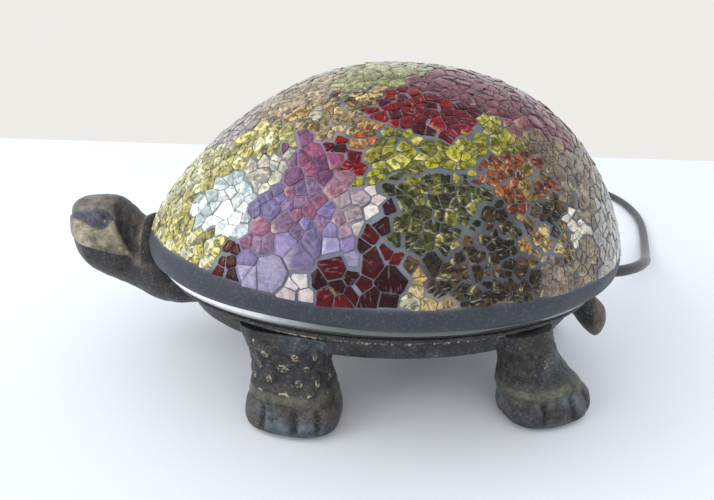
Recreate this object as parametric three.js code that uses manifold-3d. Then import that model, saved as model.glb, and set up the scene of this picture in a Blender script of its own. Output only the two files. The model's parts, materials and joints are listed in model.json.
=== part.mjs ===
// A turtle-shaped table lamp: a crackle-mosaic glass shell lifts off a cast base that carries a small
// screw-base bulb. Millimetres, +Z up, the table at z = 0, the head towards -X and the tail towards +X.
// The shell's centre is the working origin, and the whole lamp is moved so that the origin is bottom centre.
import * as THREE from 'three';
import { mergeVertices } from 'three/addons/utils/BufferGeometryUtils.js';
import Module from 'manifold-3d';

const wasm = await Module();
wasm.setup();

// ---- Driving dimensions ----
const SHELL_HALF_LENGTH = 110;
const SHELL_HALF_WIDTH = 88.8;
const SHELL_RISE = 78;                 // from the widest line up to the top
const RIM_HEIGHT = 68;                 // the shell's widest line above the table
const CROWN_FULLNESS = 2.18;           // exponents of the shell's profile
const SHOULDER_FULLNESS = 1.35;
const CROWN_SHIFT = 3.7;               // the top sits a little towards the tail
const FLANK_SHIFT = 26;                // and the tail-side flank is the fuller one
const LIP_DEPTH = 12.3;                // the edge below the widest line
const LIP_TUCK = 5.3;                  // how far that edge rolls in
const SNOUT_REACH = 158;               // from the shell's centre to the snout
const TAIL_REACH = 115.4;              // and to the back of the tail
const GAP = 0.3;                       // clearance between pieces that touch

const MOSAIC_THICKNESS = 2;
const GLASS_THICKNESS = 2.7;
const GLASS_INSET = MOSAIC_THICKNESS + GAP;
const BAND_TOP_RISE = 1.5;             // the plain grout band, from just above the widest line
const BAND_LIP_SHARE = 0.46;           // to this share of the lip's quarter turn
const AROUND = 36;                     // facets round the shell and the ring

const RING_BOTTOM = 39.8;
const FLANGE_THICKNESS = 3;
const FLANGE_TOP = RING_BOTTOM + FLANGE_THICKNESS;
const SEAT_TOP = 53.7;
const SEAT_BOTTOM = 51.7;
const RING_FACE_INSET = 17.4;          // insets are measured in from the shell's widest outline
const BEAD_INSET = 16.2;
const SEAT_INSET = 8.5;
const FLANGE_SCREW_INSET = 25.7;
const SCREW_RADIUS = 2;
const SCREW_HOLE_RADIUS = SCREW_RADIUS + GAP;

const STRAP_TOP = 28;                  // the dropped middle of the strap that carries the holder
const STRAP_THICKNESS = 2;
const STRAP_WIDTH = 16;
const STRAP_HALF_SPAN = 66;
const STRAP_SCREW_Y = 62.5;
const NIPPLE_RADIUS = 4.8;
const NIPPLE_BORE = 3.3;
const HOLDER_BOTTOM = STRAP_TOP + 1.6;
const HOLDER_RADIUS = 13.5;
const THREAD_RADIUS = 6.95;            // the bulb cap, for a 14 mm screw
const BULB_RADIUS = 22;

const CORD_RADIUS = 2.9;
const CORD_ON_TABLE = CORD_RADIUS + 0.1;
const OUTLET_Y = 16;
const OUTLET_Z = 45;
const COIL = { x: -30, y: 150, radius: 31, halfWidth: 8.9, bottom: 1.1, height: 11.7 };
const SWITCH = { x: 3, y: 243, length: 62, width: 24, split: 9.6, height: 19 };
const PLUG = { x: 40, y: 214, length: 36, thickness: 13.7, pinSpacing: 18.6, pinLength: 19, pinRadius: 2 };

// ---- Colours ----
const colour = (hex, roughness, metalness = 0) => ({ color: hex, roughness, metalness });
const BRONZE = colour(0x2b2522, 0.5, 0.8);
const STEEL = colour(0x9a9a98, 0.4, 0.9);
const BRASS = colour(0xb9923f, 0.35, 0.9);
const BLACK_PLASTIC = colour(0x1c1a19, 0.5);
const WHITE_CERAMIC = colour(0xd9d6cc, 0.6);
const CLEAR_GLASS = { ...colour(0xdfe6e4, 0.08), transparent: true, opacity: 0.45 };
const GROUT = colour(0x6d7180, 0.8);
const FELT = colour(0x26231f, 0.95);
const CORD_BROWN = colour(0x2e2723, 0.6);

// ---- Solids ----
function signedVolume(geometry) {
  const at = geometry.attributes.position;
  const corner = [new THREE.Vector3(), new THREE.Vector3(), new THREE.Vector3()];
  let volume = 0;
  for (let i = 0; i < geometry.index.count; i += 3) {
    corner.forEach((point, k) => point.fromBufferAttribute(at, geometry.index.getX(i + k)));
    volume += corner[0].dot(corner[1].cross(corner[2])) / 6;
  }
  return volume;
}

// Welds a geometry's shared vertices and turns its faces outwards.
function welded(geometry) {
  const bare = geometry.clone();
  bare.deleteAttribute('normal');
  bare.deleteAttribute('uv');
  const merged = mergeVertices(bare, 1e-4);
  const used = [];
  for (let i = 0; i < merged.index.count; i += 3) {
    const [a, b, c] = [0, 1, 2].map((k) => merged.index.getX(i + k));
    if (a !== b && b !== c && c !== a) used.push(a, b, c);
  }
  merged.setIndex(used);
  if (signedVolume(merged) < 0) {
    for (let i = 0; i < used.length; i += 3) [used[i], used[i + 1]] = [used[i + 1], used[i]];
    merged.setIndex(used);
  }
  merged.computeVertexNormals();
  return merged;
}

function toSolid(geometry) {
  const mesh = welded(geometry);
  const vertProperties = new Float32Array(mesh.attributes.position.array);
  const triVerts = Uint32Array.from(mesh.index.array);
  return new wasm.Manifold(new wasm.Mesh({ numProp: 3, vertProperties, triVerts }));
}

function toGeometry(solid) {
  const mesh = solid.getMesh();
  const geometry = new THREE.BufferGeometry();
  geometry.setAttribute('position', new THREE.BufferAttribute(mesh.vertProperties, 3));
  geometry.setIndex(new THREE.BufferAttribute(mesh.triVerts, 1));
  geometry.computeVertexNormals();
  return geometry;
}

function cut(geometry, ...tools) {
  return toGeometry(tools.reduce((solid, tool) => solid.subtract(toSolid(tool)), toSolid(geometry)));
}

function common(geometry, tool) {
  return toGeometry(toSolid(geometry).intersect(toSolid(tool)));
}

function fromFaces(points, faces) {
  const geometry = new THREE.BufferGeometry();
  geometry.setAttribute('position', new THREE.Float32BufferAttribute(points.flatMap((p) => [p.x, p.y, p.z]), 3));
  geometry.setIndex(faces.flat());
  return welded(geometry);
}

// The four-sided faces between one ring of points and the next, each split in two.
function bands(first, second, count) {
  const faces = [];
  for (let i = 0; i < count; i += 1) {
    const j = (i + 1) % count;
    faces.push([first + i, first + j, second + j], [first + i, second + j, second + i]);
  }
  return faces;
}

// A skin over a row of closed rings, closed by a fan to one point at each end.
function loft(rings, startPoint, endPoint) {
  const count = rings[0].length;
  const points = [...rings.flat(), startPoint, endPoint];
  const start = rings.length * count;
  const last = start - count;
  const faces = [];
  for (let r = 0; r + 1 < rings.length; r += 1) faces.push(...bands(r * count, (r + 1) * count, count));
  for (let i = 0; i < count; i += 1) {
    const j = (i + 1) % count;
    faces.push([start, j, i], [start + 1, last + i, last + j]);
  }
  return fromFaces(points, faces);
}

// A closed section carried round a closed path.
function hoop(sections) {
  const count = sections[0].length;
  const faces = sections.flatMap((section, k) =>
    bands(k * count, ((k + 1) % sections.length) * count, count));
  return fromFaces(sections.flat(), faces);
}

const turnSteps = (count) => Array.from({ length: count }, (_, i) => (i * 2 * Math.PI) / count);

function turned(profile, sides = 14) {
  const points = profile.map(([radius, z]) => new THREE.Vector2(radius, z));
  return new THREE.LatheGeometry(points, sides).rotateX(Math.PI / 2);
}

function tubeSection(inner, outer, bottom, top) {
  return [[inner, bottom], [outer, bottom], [outer, top], [inner, top], [inner, bottom]];
}

function cylinderZ(radius, bottom, top, x = 0, y = 0, sides = 16) {
  return turned([[0, bottom], [radius, bottom], [radius, top], [0, top]], sides).translate(x, y, 0);
}

function cylinderX(radius, from, to, y, z, sides = 16) {
  return turned([[0, from], [radius, from], [radius, to], [0, to]], sides)
    .rotateY(Math.PI / 2)
    .translate(0, y, z);
}

function box(low, high) {
  const size = high.map((value, k) => value - low[k]);
  const middle = high.map((value, k) => (value + low[k]) / 2);
  return new THREE.BoxGeometry(...size).translate(...middle);
}

// A flat outline given in (y, z), carried along X.
function alongX(outline, from, to) {
  const shape = new THREE.Shape(outline.map(([y, z]) => new THREE.Vector2(y, z)));
  const basis = new THREE.Matrix4().makeBasis(
    new THREE.Vector3(0, 1, 0), new THREE.Vector3(0, 0, 1), new THREE.Vector3(1, 0, 0));
  return new THREE.ExtrudeGeometry(shape, { depth: to - from, bevelEnabled: false })
    .applyMatrix4(basis)
    .translate(from, 0, 0);
}

// A plan outline carried up Z.
function upZ(shape, bottom, top, curveSegments = 3) {
  return new THREE.ExtrudeGeometry(shape, { depth: top - bottom, bevelEnabled: false, curveSegments })
    .translate(0, 0, bottom);
}

function roundedRectangle(width, height, radius) {
  const shape = new THREE.Shape();
  const [w, h] = [width / 2 - radius, height / 2 - radius];
  shape.absarc(w, h, radius, 0, Math.PI / 2);
  shape.absarc(-w, h, radius, Math.PI / 2, Math.PI);
  shape.absarc(-w, -h, radius, Math.PI, 1.5 * Math.PI);
  shape.absarc(w, -h, radius, 1.5 * Math.PI, 2 * Math.PI);
  return shape;
}

function tubeAlong(points, radius, sides, steps) {
  const curve = new THREE.CatmullRomCurve3(points.map((p) => new THREE.Vector3(...p)), false, 'centripetal');
  const section = new THREE.Shape(turnSteps(sides).map((angle) =>
    new THREE.Vector2(radius * Math.cos(angle), radius * Math.sin(angle))));
  return new THREE.ExtrudeGeometry(section, { steps, extrudePath: curve, bevelEnabled: false });
}

// ---- The oval outlines that the shell and the ring share ----
function ovalPoint(inset, z, angle) {
  return new THREE.Vector3(
    (SHELL_HALF_LENGTH - inset) * Math.cos(angle), (SHELL_HALF_WIDTH - inset) * Math.sin(angle), z);
}

// A point above the widest line; share runs from 0 at the top to 1 at the widest line.
function crownPoint(share, angle, inset) {
  const point = ovalPoint(inset, 0, angle).multiplyScalar(share);
  point.x += CROWN_SHIFT * (1 - share * share) + FLANK_SHIFT * share * (1 - share);
  const fall = Math.pow(1 - Math.pow(share, CROWN_FULLNESS), 1 / SHOULDER_FULLNESS);
  point.z = RIM_HEIGHT + (SHELL_RISE - inset) * fall;
  return point;
}

// A point below the widest line; turn runs from 0 there to 1 at the bottom edge.
function lipPoint(turn, angle, inset) {
  const swing = (turn * Math.PI) / 2;
  const tuck = LIP_TUCK * (1 - Math.cos(swing));
  return ovalPoint(inset + tuck, RIM_HEIGHT - LIP_DEPTH * Math.sin(swing), angle);
}

const ringOf = (pointAt) => turnSteps(AROUND).map(pointAt);
const crownRing = (share, inset) => ringOf((angle) => crownPoint(share, angle, inset));
const lipRing = (turn, inset) => ringOf((angle) => lipPoint(turn, angle, inset));
const crownTop = (inset) => new THREE.Vector3(CROWN_SHIFT, 0, RIM_HEIGHT + SHELL_RISE - inset);

function ovalPlug(inset, bottom, top) {
  const rings = [bottom, top].map((z) => ringOf((angle) => ovalPoint(inset, z, angle)));
  return loft(rings, new THREE.Vector3(0, 0, bottom), new THREE.Vector3(0, 0, top));
}

// Where the shell's height above the widest line is the given rise.
const shareAtRise = (rise) =>
  Math.pow(1 - Math.pow(rise / SHELL_RISE, SHOULDER_FULLNESS), 1 / CROWN_FULLNESS);
const CROWN_SHARES = [0.2, 0.4, 0.58, 0.73, 0.85, 0.94];

// ---- Shell: glass, mosaic and grout ----
function shadeGlass() {
  const outer = [...CROWN_SHARES, 1].map((share) => crownRing(share, GLASS_INSET));
  const outerLip = [0.4, 0.7, 1].map((turn) => lipRing(turn, GLASS_INSET));
  const inset = GLASS_INSET + GLASS_THICKNESS;
  const innerLip = [1, 0.7, 0.4].map((turn) => lipRing(turn, inset));
  const inner = [...CROWN_SHARES, 1].reverse().map((share) => crownRing(share, inset));
  return loft([...outer, ...outerLip, ...innerLip, ...inner], crownTop(GLASS_INSET), crownTop(inset));
}

function groutBand() {
  const topShare = shareAtRise(BAND_TOP_RISE);
  return hoop(turnSteps(AROUND).map((angle) => [
    crownPoint(topShare, angle, 0),
    crownPoint(1, angle, 0),
    lipPoint(BAND_LIP_SHARE / 2, angle, 0),
    lipPoint(BAND_LIP_SHARE, angle, 0),
    lipPoint(BAND_LIP_SHARE, angle, MOSAIC_THICKNESS),
    lipPoint(BAND_LIP_SHARE / 2, angle, MOSAIC_THICKNESS),
    crownPoint(1, angle, MOSAIC_THICKNESS),
    crownPoint(topShare, angle, MOSAIC_THICKNESS),
  ]));
}

function mosaicSkin() {
  const shares = [...CROWN_SHARES, shareAtRise(BAND_TOP_RISE + 2 * GAP)];
  const outer = shares.map((share) => crownRing(share, 0));
  const inner = [...shares].reverse().map((share) => crownRing(share, MOSAIC_THICKNESS));
  return loft([...outer, ...inner], crownTop(0), crownTop(MOSAIC_THICKNESS));
}

// Each patch of one glass colour holds the part of the skin that is nearest to its own centre, in plan.
const PATCHES = [
  { name: 'yellow_front', x: -77, y: -40, hex: 0xb9b35a },
  { name: 'clear_front', x: -50, y: -64, hex: 0xc4c8c4 },
  { name: 'amber_front', x: -34, y: -30, hex: 0xa98a5c },
  { name: 'pale_crown', x: 3, y: 0, hex: 0xb7b487 },
  { name: 'red_crown', x: 34, y: -36, hex: 0x6d1420 },
  { name: 'violet_side', x: -22, y: -76, hex: 0x9a6c92 },
  { name: 'yellow_side', x: 17, y: -72, hex: 0xa9a02c },
  { name: 'amber_side', x: 52, y: -70, hex: 0x8e5a2c },
  { name: 'taupe_rear', x: 86, y: -22, hex: 0x8f8474 },
  { name: 'red_far', x: -58, y: 42, hex: 0x7a1826 },
  { name: 'yellow_far', x: -4, y: 58, hex: 0xb0a535 },
  { name: 'violet_far', x: 58, y: 46, hex: 0x8d6690 },
];

function patchColumn(patch) {
  const reach = 2 * SHELL_HALF_LENGTH;
  let outline = [[-reach, -reach], [reach, -reach], [reach, reach], [-reach, reach]];
  PATCHES.filter((other) => other !== patch).forEach((other) => {
    const away = new THREE.Vector2(other.x - patch.x, other.y - patch.y);
    const limit = away.length() / 2 - GAP / 2;
    away.normalize();
    const beyond = ([x, y]) => (x - patch.x) * away.x + (y - patch.y) * away.y - limit;
    const kept = [];
    outline.forEach((point, i) => {
      const next = outline[(i + 1) % outline.length];
      const [here, there] = [beyond(point), beyond(next)];
      if (here <= 0) kept.push(point);
      if (here * there < 0) {
        const along = here / (here - there);
        kept.push(point.map((value, k) => value + (next[k] - value) * along));
      }
    });
    outline = kept;
  });
  const shape = new THREE.Shape(outline.map(([x, y]) => new THREE.Vector2(x, y)));
  return upZ(shape, 0, 2 * RIM_HEIGHT + SHELL_RISE);
}

// ---- Base ring ----
const onFlange = (x, side) => {
  const share = x / (SHELL_HALF_LENGTH - FLANGE_SCREW_INSET);
  return { x, y: side * (SHELL_HALF_WIDTH - FLANGE_SCREW_INSET) * Math.sqrt(1 - share * share) };
};

const LEGS = [
  { name: 'front_near', side: -1, x: -31.5, y: 56, heading: 98, lean: 0, narrow: 0, screwX: -31.5 },
  { name: 'front_far', side: 1, x: -31.5, y: 56, heading: 98, lean: 0, narrow: 0, screwX: -31.5 },
  { name: 'rear_near', side: -1, x: 75, y: 38, heading: 62, lean: 13, narrow: 5, screwX: 61 },
  { name: 'rear_far', side: 1, x: 80, y: 38, heading: 62, lean: 13, narrow: 5, screwX: 63 },
];
const NECK_SCREW = { x: -(SHELL_HALF_LENGTH - FLANGE_SCREW_INSET), y: 0 };
const TAIL_SCREW = { x: SHELL_HALF_LENGTH - FLANGE_SCREW_INSET, y: 0 };

function baseRing() {
  const section = [
    [RING_FACE_INSET, RING_BOTTOM],
    [30, RING_BOTTOM],
    [30, FLANGE_TOP],
    [21.4, FLANGE_TOP],
    [21.4, 50.2],
    [15.8, 52.4],
    [15.8, 59.5],
    [13.2, 59.5],
    [13.2, SEAT_TOP],
    [SEAT_INSET, SEAT_TOP],
    [SEAT_INSET, SEAT_BOTTOM],
    [BEAD_INSET + 0.3, 49.9],
    [BEAD_INSET + 2, 48.9],
    [BEAD_INSET, 47.2],
    [RING_FACE_INSET - 0.2, 45.2],
  ];
  const ring = hoop(turnSteps(AROUND).map((angle) =>
    section.map(([inset, z]) => ovalPoint(inset, z, angle))));
  const screwPlaces = [
    ...LEGS.map((leg) => onFlange(leg.screwX, leg.side)),
    NECK_SCREW,
    TAIL_SCREW,
    { x: 0, y: STRAP_SCREW_Y },
    { x: 0, y: -STRAP_SCREW_Y },
  ];
  const holes = screwPlaces.map(({ x, y }) =>
    cylinderZ(SCREW_HOLE_RADIUS, RING_BOTTOM - 1, FLANGE_TOP + 1, x, y, 10));
  const outlet = cylinderX(4, 74, 98, OUTLET_Y, OUTLET_Z, 14);
  return cut(ring, ...holes, outlet);
}

// The room that the ring and the lifting shell need, taken out of the castings that meet them.
function ringRoom() {
  return [
    ovalPlug(BEAD_INSET - GAP, RING_BOTTOM - GAP, 60),
    ovalPlug(SEAT_INSET - GAP, 49.6, 60),
    ovalPlug(-1, SEAT_TOP - 0.4, RIM_HEIGHT + SHELL_RISE),
  ];
}

// ---- Cast limbs ----
// A ring of points in the plane square to a heading that pitches up or down in the XZ plane.
function limbRing({ x, z, halfWidth, halfHeight, pitch = 0 }, points = 18) {
  const rise = new THREE.Vector3(-Math.sin(pitch), 0, Math.cos(pitch));
  return turnSteps(points).map((angle) => new THREE.Vector3(x, halfWidth * Math.cos(angle), z)
    .addScaledVector(rise, halfHeight * Math.sin(angle)));
}

function headNeck() {
  // Each station: distance towards the snout, bottom height, top height, half width.
  const stations = [
    [76, 29, 39, 8],
    [82, 26.5, 42, 12],
    [95, 25, 46, 14],
    [105, 24.5, 52, 15],
    [112, 25.5, 64, 15.5],
    [117, 28, 70.5, 15],
    [121.5, 31, 69.5, 13.6],
    [127, 33, 77.5, 14.8],
    [134, 35.5, 80, 16],
    [141, 38, 79.5, 16],
    [147, 41.4, 78.3, 14.2],
    [152, 45.4, 76.2, 9.8],
    [156, 51.5, 71.4, 5],
  ];
  const rings = stations.map(([reach, bottom, top, halfWidth]) =>
    limbRing({ x: -reach, z: (bottom + top) / 2, halfWidth, halfHeight: (top - bottom) / 2 }));
  const whole = loft(rings, new THREE.Vector3(-75, 0, 34), new THREE.Vector3(-SNOUT_REACH, 0, 61));
  const hole = cylinderZ(SCREW_HOLE_RADIUS, 31, 45, NECK_SCREW.x, 0, 10);
  return cut(whole, ...ringRoom(), hole);
}

function tail() {
  const stations = [
    { x: 78, z: 35, halfWidth: 5, halfHeight: 3.6, pitch: 0 },
    { x: 90, z: 34.6, halfWidth: 8, halfHeight: 5.4, pitch: -0.1 },
    { x: 98, z: 33.5, halfWidth: 8.6, halfHeight: 6.8, pitch: -0.4 },
    { x: 104, z: 30.5, halfWidth: 8.2, halfHeight: 7.6, pitch: -0.75 },
    { x: 108.6, z: 25.5, halfWidth: 6.8, halfHeight: 6.8, pitch: -1.05 },
    { x: 111, z: 20, halfWidth: 4.8, halfHeight: 4.8, pitch: -1.2 },
  ];
  const rings = stations.map((station) => limbRing(station, 14));
  const whole = loft(rings, new THREE.Vector3(76.5, 0, 35), new THREE.Vector3(112.6, 0, 14.5));
  const hole = cylinderZ(SCREW_HOLE_RADIUS, 32, 45, TAIL_SCREW.x, 0, 10);
  return cut(whole, ...ringRoom(), hole);
}

// Heights of a leg's sections: half width, reach in, reach out; the lean and narrowing grow upwards.
const LEG_SECTIONS = [
  { z: 1.5, halfWidth: 18, inward: 10, outward: 14.5 },
  { z: 4, halfWidth: 20.5, inward: 12, outward: 17.5 },
  { z: 10, halfWidth: 20.5, inward: 12, outward: 17.5 },
  { z: 17, halfWidth: 19, inward: 11, outward: 15.5 },
  { z: 25, halfWidth: 18, inward: 9.5, outward: 13.5 },
  { z: 33, halfWidth: 18.5, inward: 9, outward: 14 },
  { z: 41, halfWidth: 20, inward: 9, outward: 15.5 },
  { z: 46.4, halfWidth: 18, inward: 7, outward: 13.5 },
];

function legPoint(leg, z, across, outward) {
  const heading = THREE.MathUtils.degToRad(leg.heading);
  const rise = THREE.MathUtils.clamp((z - 10) / 30, 0, 1.2);
  const along = across - leg.lean * rise;
  const x = leg.x + along * Math.sin(heading) + outward * Math.cos(heading);
  const y = leg.y - along * Math.cos(heading) + outward * Math.sin(heading);
  return new THREE.Vector3(x, leg.side * y, z);
}

function legCasting(leg) {
  const squareness = 0.75;
  const soften = (value) => Math.sign(value) * Math.pow(Math.abs(value), squareness);
  const rings = LEG_SECTIONS.map(({ z, halfWidth, inward, outward }) => {
    const width = halfWidth - leg.narrow * THREE.MathUtils.clamp((z - 17) / 24, 0, 1);
    const middle = (outward - inward) / 2;
    const depth = (outward + inward) / 2;
    return turnSteps(16).map((angle) =>
      legPoint(leg, z, width * soften(Math.cos(angle)), middle + depth * soften(Math.sin(angle))));
  });
  const whole = loft(rings, legPoint(leg, 1.5, 0, 2), legPoint(leg, 46.6, 0, 3));
  const screw = onFlange(leg.screwX, leg.side);
  return cut(whole, ...ringRoom(), cylinderZ(SCREW_HOLE_RADIUS, 30, 45, screw.x, screw.y, 10));
}

function footPad(leg) {
  const middle = legPoint(leg, 0, 0, 2);
  return cylinderZ(11.5, 0, 1.2, middle.x, middle.y, 14);
}

// A pan-head screw whose head stands on the height given.
function panScrew({ x, y }, underHead, length) {
  const profile = [
    [0, underHead - length], [SCREW_RADIUS, underHead - length], [SCREW_RADIUS, underHead],
    [3.7, underHead], [3.2, underHead + 2], [0, underHead + 2.4],
  ];
  return turned(profile, 8).translate(x, y, 0);
}

// ---- Strap and lamp holder ----
function strap() {
  const flat = FLANGE_TOP + GAP;
  const bend = 54;
  const foot = 38;
  const slope = 0.8;
  const half = [
    [STRAP_HALF_SPAN, flat + STRAP_THICKNESS], [bend, flat + STRAP_THICKNESS], [foot, STRAP_TOP],
    [-foot, STRAP_TOP], [-bend, flat + STRAP_THICKNESS], [-STRAP_HALF_SPAN, flat + STRAP_THICKNESS],
  ];
  const under = [
    [-STRAP_HALF_SPAN, flat], [-bend - slope, flat], [-foot - slope, STRAP_TOP - STRAP_THICKNESS],
    [foot + slope, STRAP_TOP - STRAP_THICKNESS], [bend + slope, flat], [STRAP_HALF_SPAN, flat],
  ];
  const bar = alongX([...half, ...under], -STRAP_WIDTH / 2, STRAP_WIDTH / 2);
  const holes = [-1, 1].map((side) => cylinderZ(SCREW_HOLE_RADIUS, flat - 1, flat + 4, 0, side * STRAP_SCREW_Y, 10));
  return cut(bar, cylinderZ(NIPPLE_RADIUS + GAP, STRAP_TOP - 4, STRAP_TOP + 2), ...holes);
}

function hexNut(acrossFlats, bore, bottom, top) {
  const outer = acrossFlats / Math.sqrt(3);
  const hexagon = new THREE.Shape(turnSteps(6).map((angle) =>
    new THREE.Vector2(outer * Math.cos(angle), outer * Math.sin(angle))));
  return cut(upZ(hexagon, bottom, top), cylinderZ(bore, bottom - 1, top + 1));
}

function holderBody() {
  const [bottom, floor, top] = [HOLDER_BOTTOM, HOLDER_BOTTOM + 4.4, HOLDER_BOTTOM + 26.4];
  const bore = NIPPLE_RADIUS + GAP;
  return turned([
    [bore, bottom], [12, bottom], [HOLDER_RADIUS, bottom + 2], [HOLDER_RADIUS, top], [11.7, top],
    [11.7, floor], [bore, floor], [bore, bottom],
  ], 18);
}

const CARRIER_TOP = 47.5;
const SHELL_MOUTH = 72;

function bulbCap() {
  const [bottom, top] = [52, 74.5];
  return turned([
    [3, bottom], [6.2, bottom + 0.6], [THREAD_RADIUS, bottom + 2.6], [THREAD_RADIUS, top], [6.35, top],
    [6.35, bottom + 3.2], [3, bottom + 2.2], [3, bottom],
  ]);
}

function bulbGlass() {
  const wall = 0.9;
  const neck = 6;
  const centre = 104;
  const outline = [[0, centre + BULB_RADIUS]];
  for (let step = 1; step <= 6; step += 1) {
    const angle = THREE.MathUtils.degToRad(90 - step * 20.5);
    outline.push([BULB_RADIUS * Math.cos(angle), centre + BULB_RADIUS * Math.sin(angle)]);
  }
  outline.push([9.5, 79.5], [neck, 75.2], [neck, 58]);
  const inside = outline.map(([radius, z], i) => [Math.max(radius - wall, 0), i === 0 ? z - wall : z]).reverse();
  return turned([...outline, ...inside], 16);
}

function bulbStem() {
  return turned([[0, 59], [4, 59], [3.4, 64], [1.6, 76], [1.3, 92], [3, 94], [3, 95.5], [0, 96.5]], 12);
}

// ---- Cord, switch and plug ----
function strainRelief() {
  const bore = CORD_RADIUS + GAP;
  const outline = [
    [bore, 86.6], [3.7, 86.6], [3.7, 93.4], [4.5, 93.4], [4.5, 96], [4.2, 98], [3.7, 111.4], [bore, 111.4], [bore, 86.6],
  ];
  return turned(outline, 16).rotateY(Math.PI / 2).translate(0, OUTLET_Y, OUTLET_Z);
}

const INNER_LEAD = [
  [0, 0, 36], [0, 0, 28], [0, 0, 19.5], [4, 1, 12], [14, 4, 8.5], [30, 8, 10], [46, 12.5, 20], [57, 15, 33],
  [66, OUTLET_Y, 42.5], [75, OUTLET_Y, OUTLET_Z], [84, OUTLET_Y, OUTLET_Z], [94.5, OUTLET_Y, OUTLET_Z],
];

// From the outlet down to the table in one wide arc on the tail side, then behind the lamp to the in-line switch.
const RUN_TO_SWITCH = [
  [95, OUTLET_Y, OUTLET_Z], [104, OUTLET_Y, OUTLET_Z], [113.5, OUTLET_Y, OUTLET_Z], [122.5, 18, 44.7], [130.5, 23.5, 44],
  [138, 32, 42.5], [145, 43.5, 40], [151.5, 57, 36], [158.5, 73, 30.5], [166, 91, 24], [174.5, 111, 17],
  [183.5, 132, 10.8], [192.5, 155, 6.2], [201.5, 180, 3.8], [210, 206, CORD_ON_TABLE], [217.5, 234, CORD_ON_TABLE],
  [222, 263, CORD_ON_TABLE], [222.5, 292, CORD_ON_TABLE], [218, 319, CORD_ON_TABLE], [207, 342, CORD_ON_TABLE],
  [190, 357, CORD_ON_TABLE], [168, 362, CORD_ON_TABLE], [145, 356, CORD_ON_TABLE], [125, 341, CORD_ON_TABLE],
  [109, 320, CORD_ON_TABLE], [95, 297, CORD_ON_TABLE], [81, 275, 3.6], [66, 256, 6.4], [52, 246, 9],
  [40, 243, SWITCH.split], [28, 243, SWITCH.split],
];
const RUN_TO_COIL = [
  [-22, 243, SWITCH.split], [-32, 243, SWITCH.split], [-46, 239, 6.8], [-57, 229, 4.6], [-63.5, 214, 4],
  [-66.5, 197, 4], [-67.2, 179, 4],
];
const RUN_TO_PLUG = [
  [5.5, 176, 7], [4.3, 183, 5.2], [4, 190, 4.4], [5.8, 199.2, 4.6], [11, 207, 5.3], [18.8, 212.2, 6.2],
  [28, PLUG.y, 6.8], [36, PLUG.y, PLUG.thickness / 2], [46, PLUG.y, PLUG.thickness / 2],
];

function cordCoil() {
  const { radius, halfWidth, bottom, height } = COIL;
  const [inner, outer, top, round] = [radius - halfWidth, radius + halfWidth, bottom + height, 2];
  return turned([
    [inner + round, bottom], [outer - round, bottom], [outer, bottom + round], [outer, top - round],
    [outer - round, top], [inner + round, top], [inner, top - round], [inner, bottom + round],
    [inner + round, bottom],
  ], 26).translate(COIL.x, COIL.y, 0);
}

function coilTie() {
  const thickness = 0.7;
  const halfSpan = COIL.halfWidth + 1.6;
  const middle = COIL.y - COIL.radius;
  const [top, halfWidth] = [COIL.bottom + COIL.height + GAP + thickness, 4];
  const outer = box([COIL.x - halfWidth, middle - halfSpan, 0], [COIL.x + halfWidth, middle + halfSpan, top]);
  const inner = box(
    [COIL.x - 2 * halfWidth, middle - halfSpan + thickness, thickness],
    [COIL.x + 2 * halfWidth, middle + halfSpan - thickness, top - thickness]);
  return cut(outer, inner);
}

const ROCKER = { length: 17.5, width: 10.8, pivot: 14.5, tilt: 10 };

function switchShell(bottom, top, openTop) {
  const wall = 2;
  const { x, y, length, width, split } = SWITCH;
  const block = upZ(roundedRectangle(length, width, 9), bottom, top).translate(x, y, 0);
  const [floor, ceiling] = openTop ? [bottom + wall, top + 1] : [bottom - 1, top - wall];
  const room = upZ(roundedRectangle(length - 14, width - 2 * wall, 4), floor, ceiling).translate(x, y, 0);
  const lead = cylinderX(CORD_RADIUS + GAP, x - length, x + length, y, split, 12);
  const window = box(
    [x - ROCKER.length / 2 - 0.9, y - ROCKER.width / 2 - GAP, split],
    [x + ROCKER.length / 2 + 0.9, y + ROCKER.width / 2 + GAP, top + 2]);
  return openTop ? cut(block, room, lead) : cut(block, room, lead, window);
}

function switchRocker() {
  const half = ROCKER.length / 2;
  const outline = [[-half, -1.5], [half, -1.5], [half, 4.5], [half - 1, 6.6], [0, 4.6], [1 - half, 6.6], [-half, 4.5]];
  const shape = new THREE.Shape(outline.map(([x, z]) => new THREE.Vector2(x, z)));
  return new THREE.ExtrudeGeometry(shape, { depth: ROCKER.width, bevelEnabled: false })
    .translate(0, 0, -ROCKER.width / 2)
    .rotateX(Math.PI / 2)
    .rotateY(THREE.MathUtils.degToRad(ROCKER.tilt))
    .translate(SWITCH.x, SWITCH.y, ROCKER.pivot);
}

function plugBody() {
  const { x, y, length, thickness } = PLUG;
  const shape = new THREE.Shape();
  shape.moveTo(0, -5.5);
  shape.lineTo(9, -6);
  shape.quadraticCurveTo(16, -15, 24, -17);
  shape.lineTo(length, -17);
  shape.lineTo(length, 17);
  shape.lineTo(24, 17);
  shape.quadraticCurveTo(16, 15, 9, 6);
  shape.lineTo(0, 5.5);
  shape.closePath();
  const block = upZ(shape, 0, thickness, 5).translate(x, y, 0);
  return cut(block, cylinderX(CORD_RADIUS + GAP, x - 1, x + 8, y, thickness / 2, 12));
}

function plugPin(side) {
  const start = PLUG.x + PLUG.length + GAP;
  const outline = [
    [0, start], [PLUG.pinRadius, start], [PLUG.pinRadius, start + PLUG.pinLength - 1.5],
    [1.2, start + PLUG.pinLength], [0, start + PLUG.pinLength],
  ];
  return turned(outline, 12)
    .rotateY(Math.PI / 2)
    .translate(0, PLUG.y + (side * PLUG.pinSpacing) / 2, PLUG.thickness / 2);
}

// ---- The scene ----
const lamp = new THREE.Group();
lamp.position.x = (SNOUT_REACH - TAIL_REACH) / 2;

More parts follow.
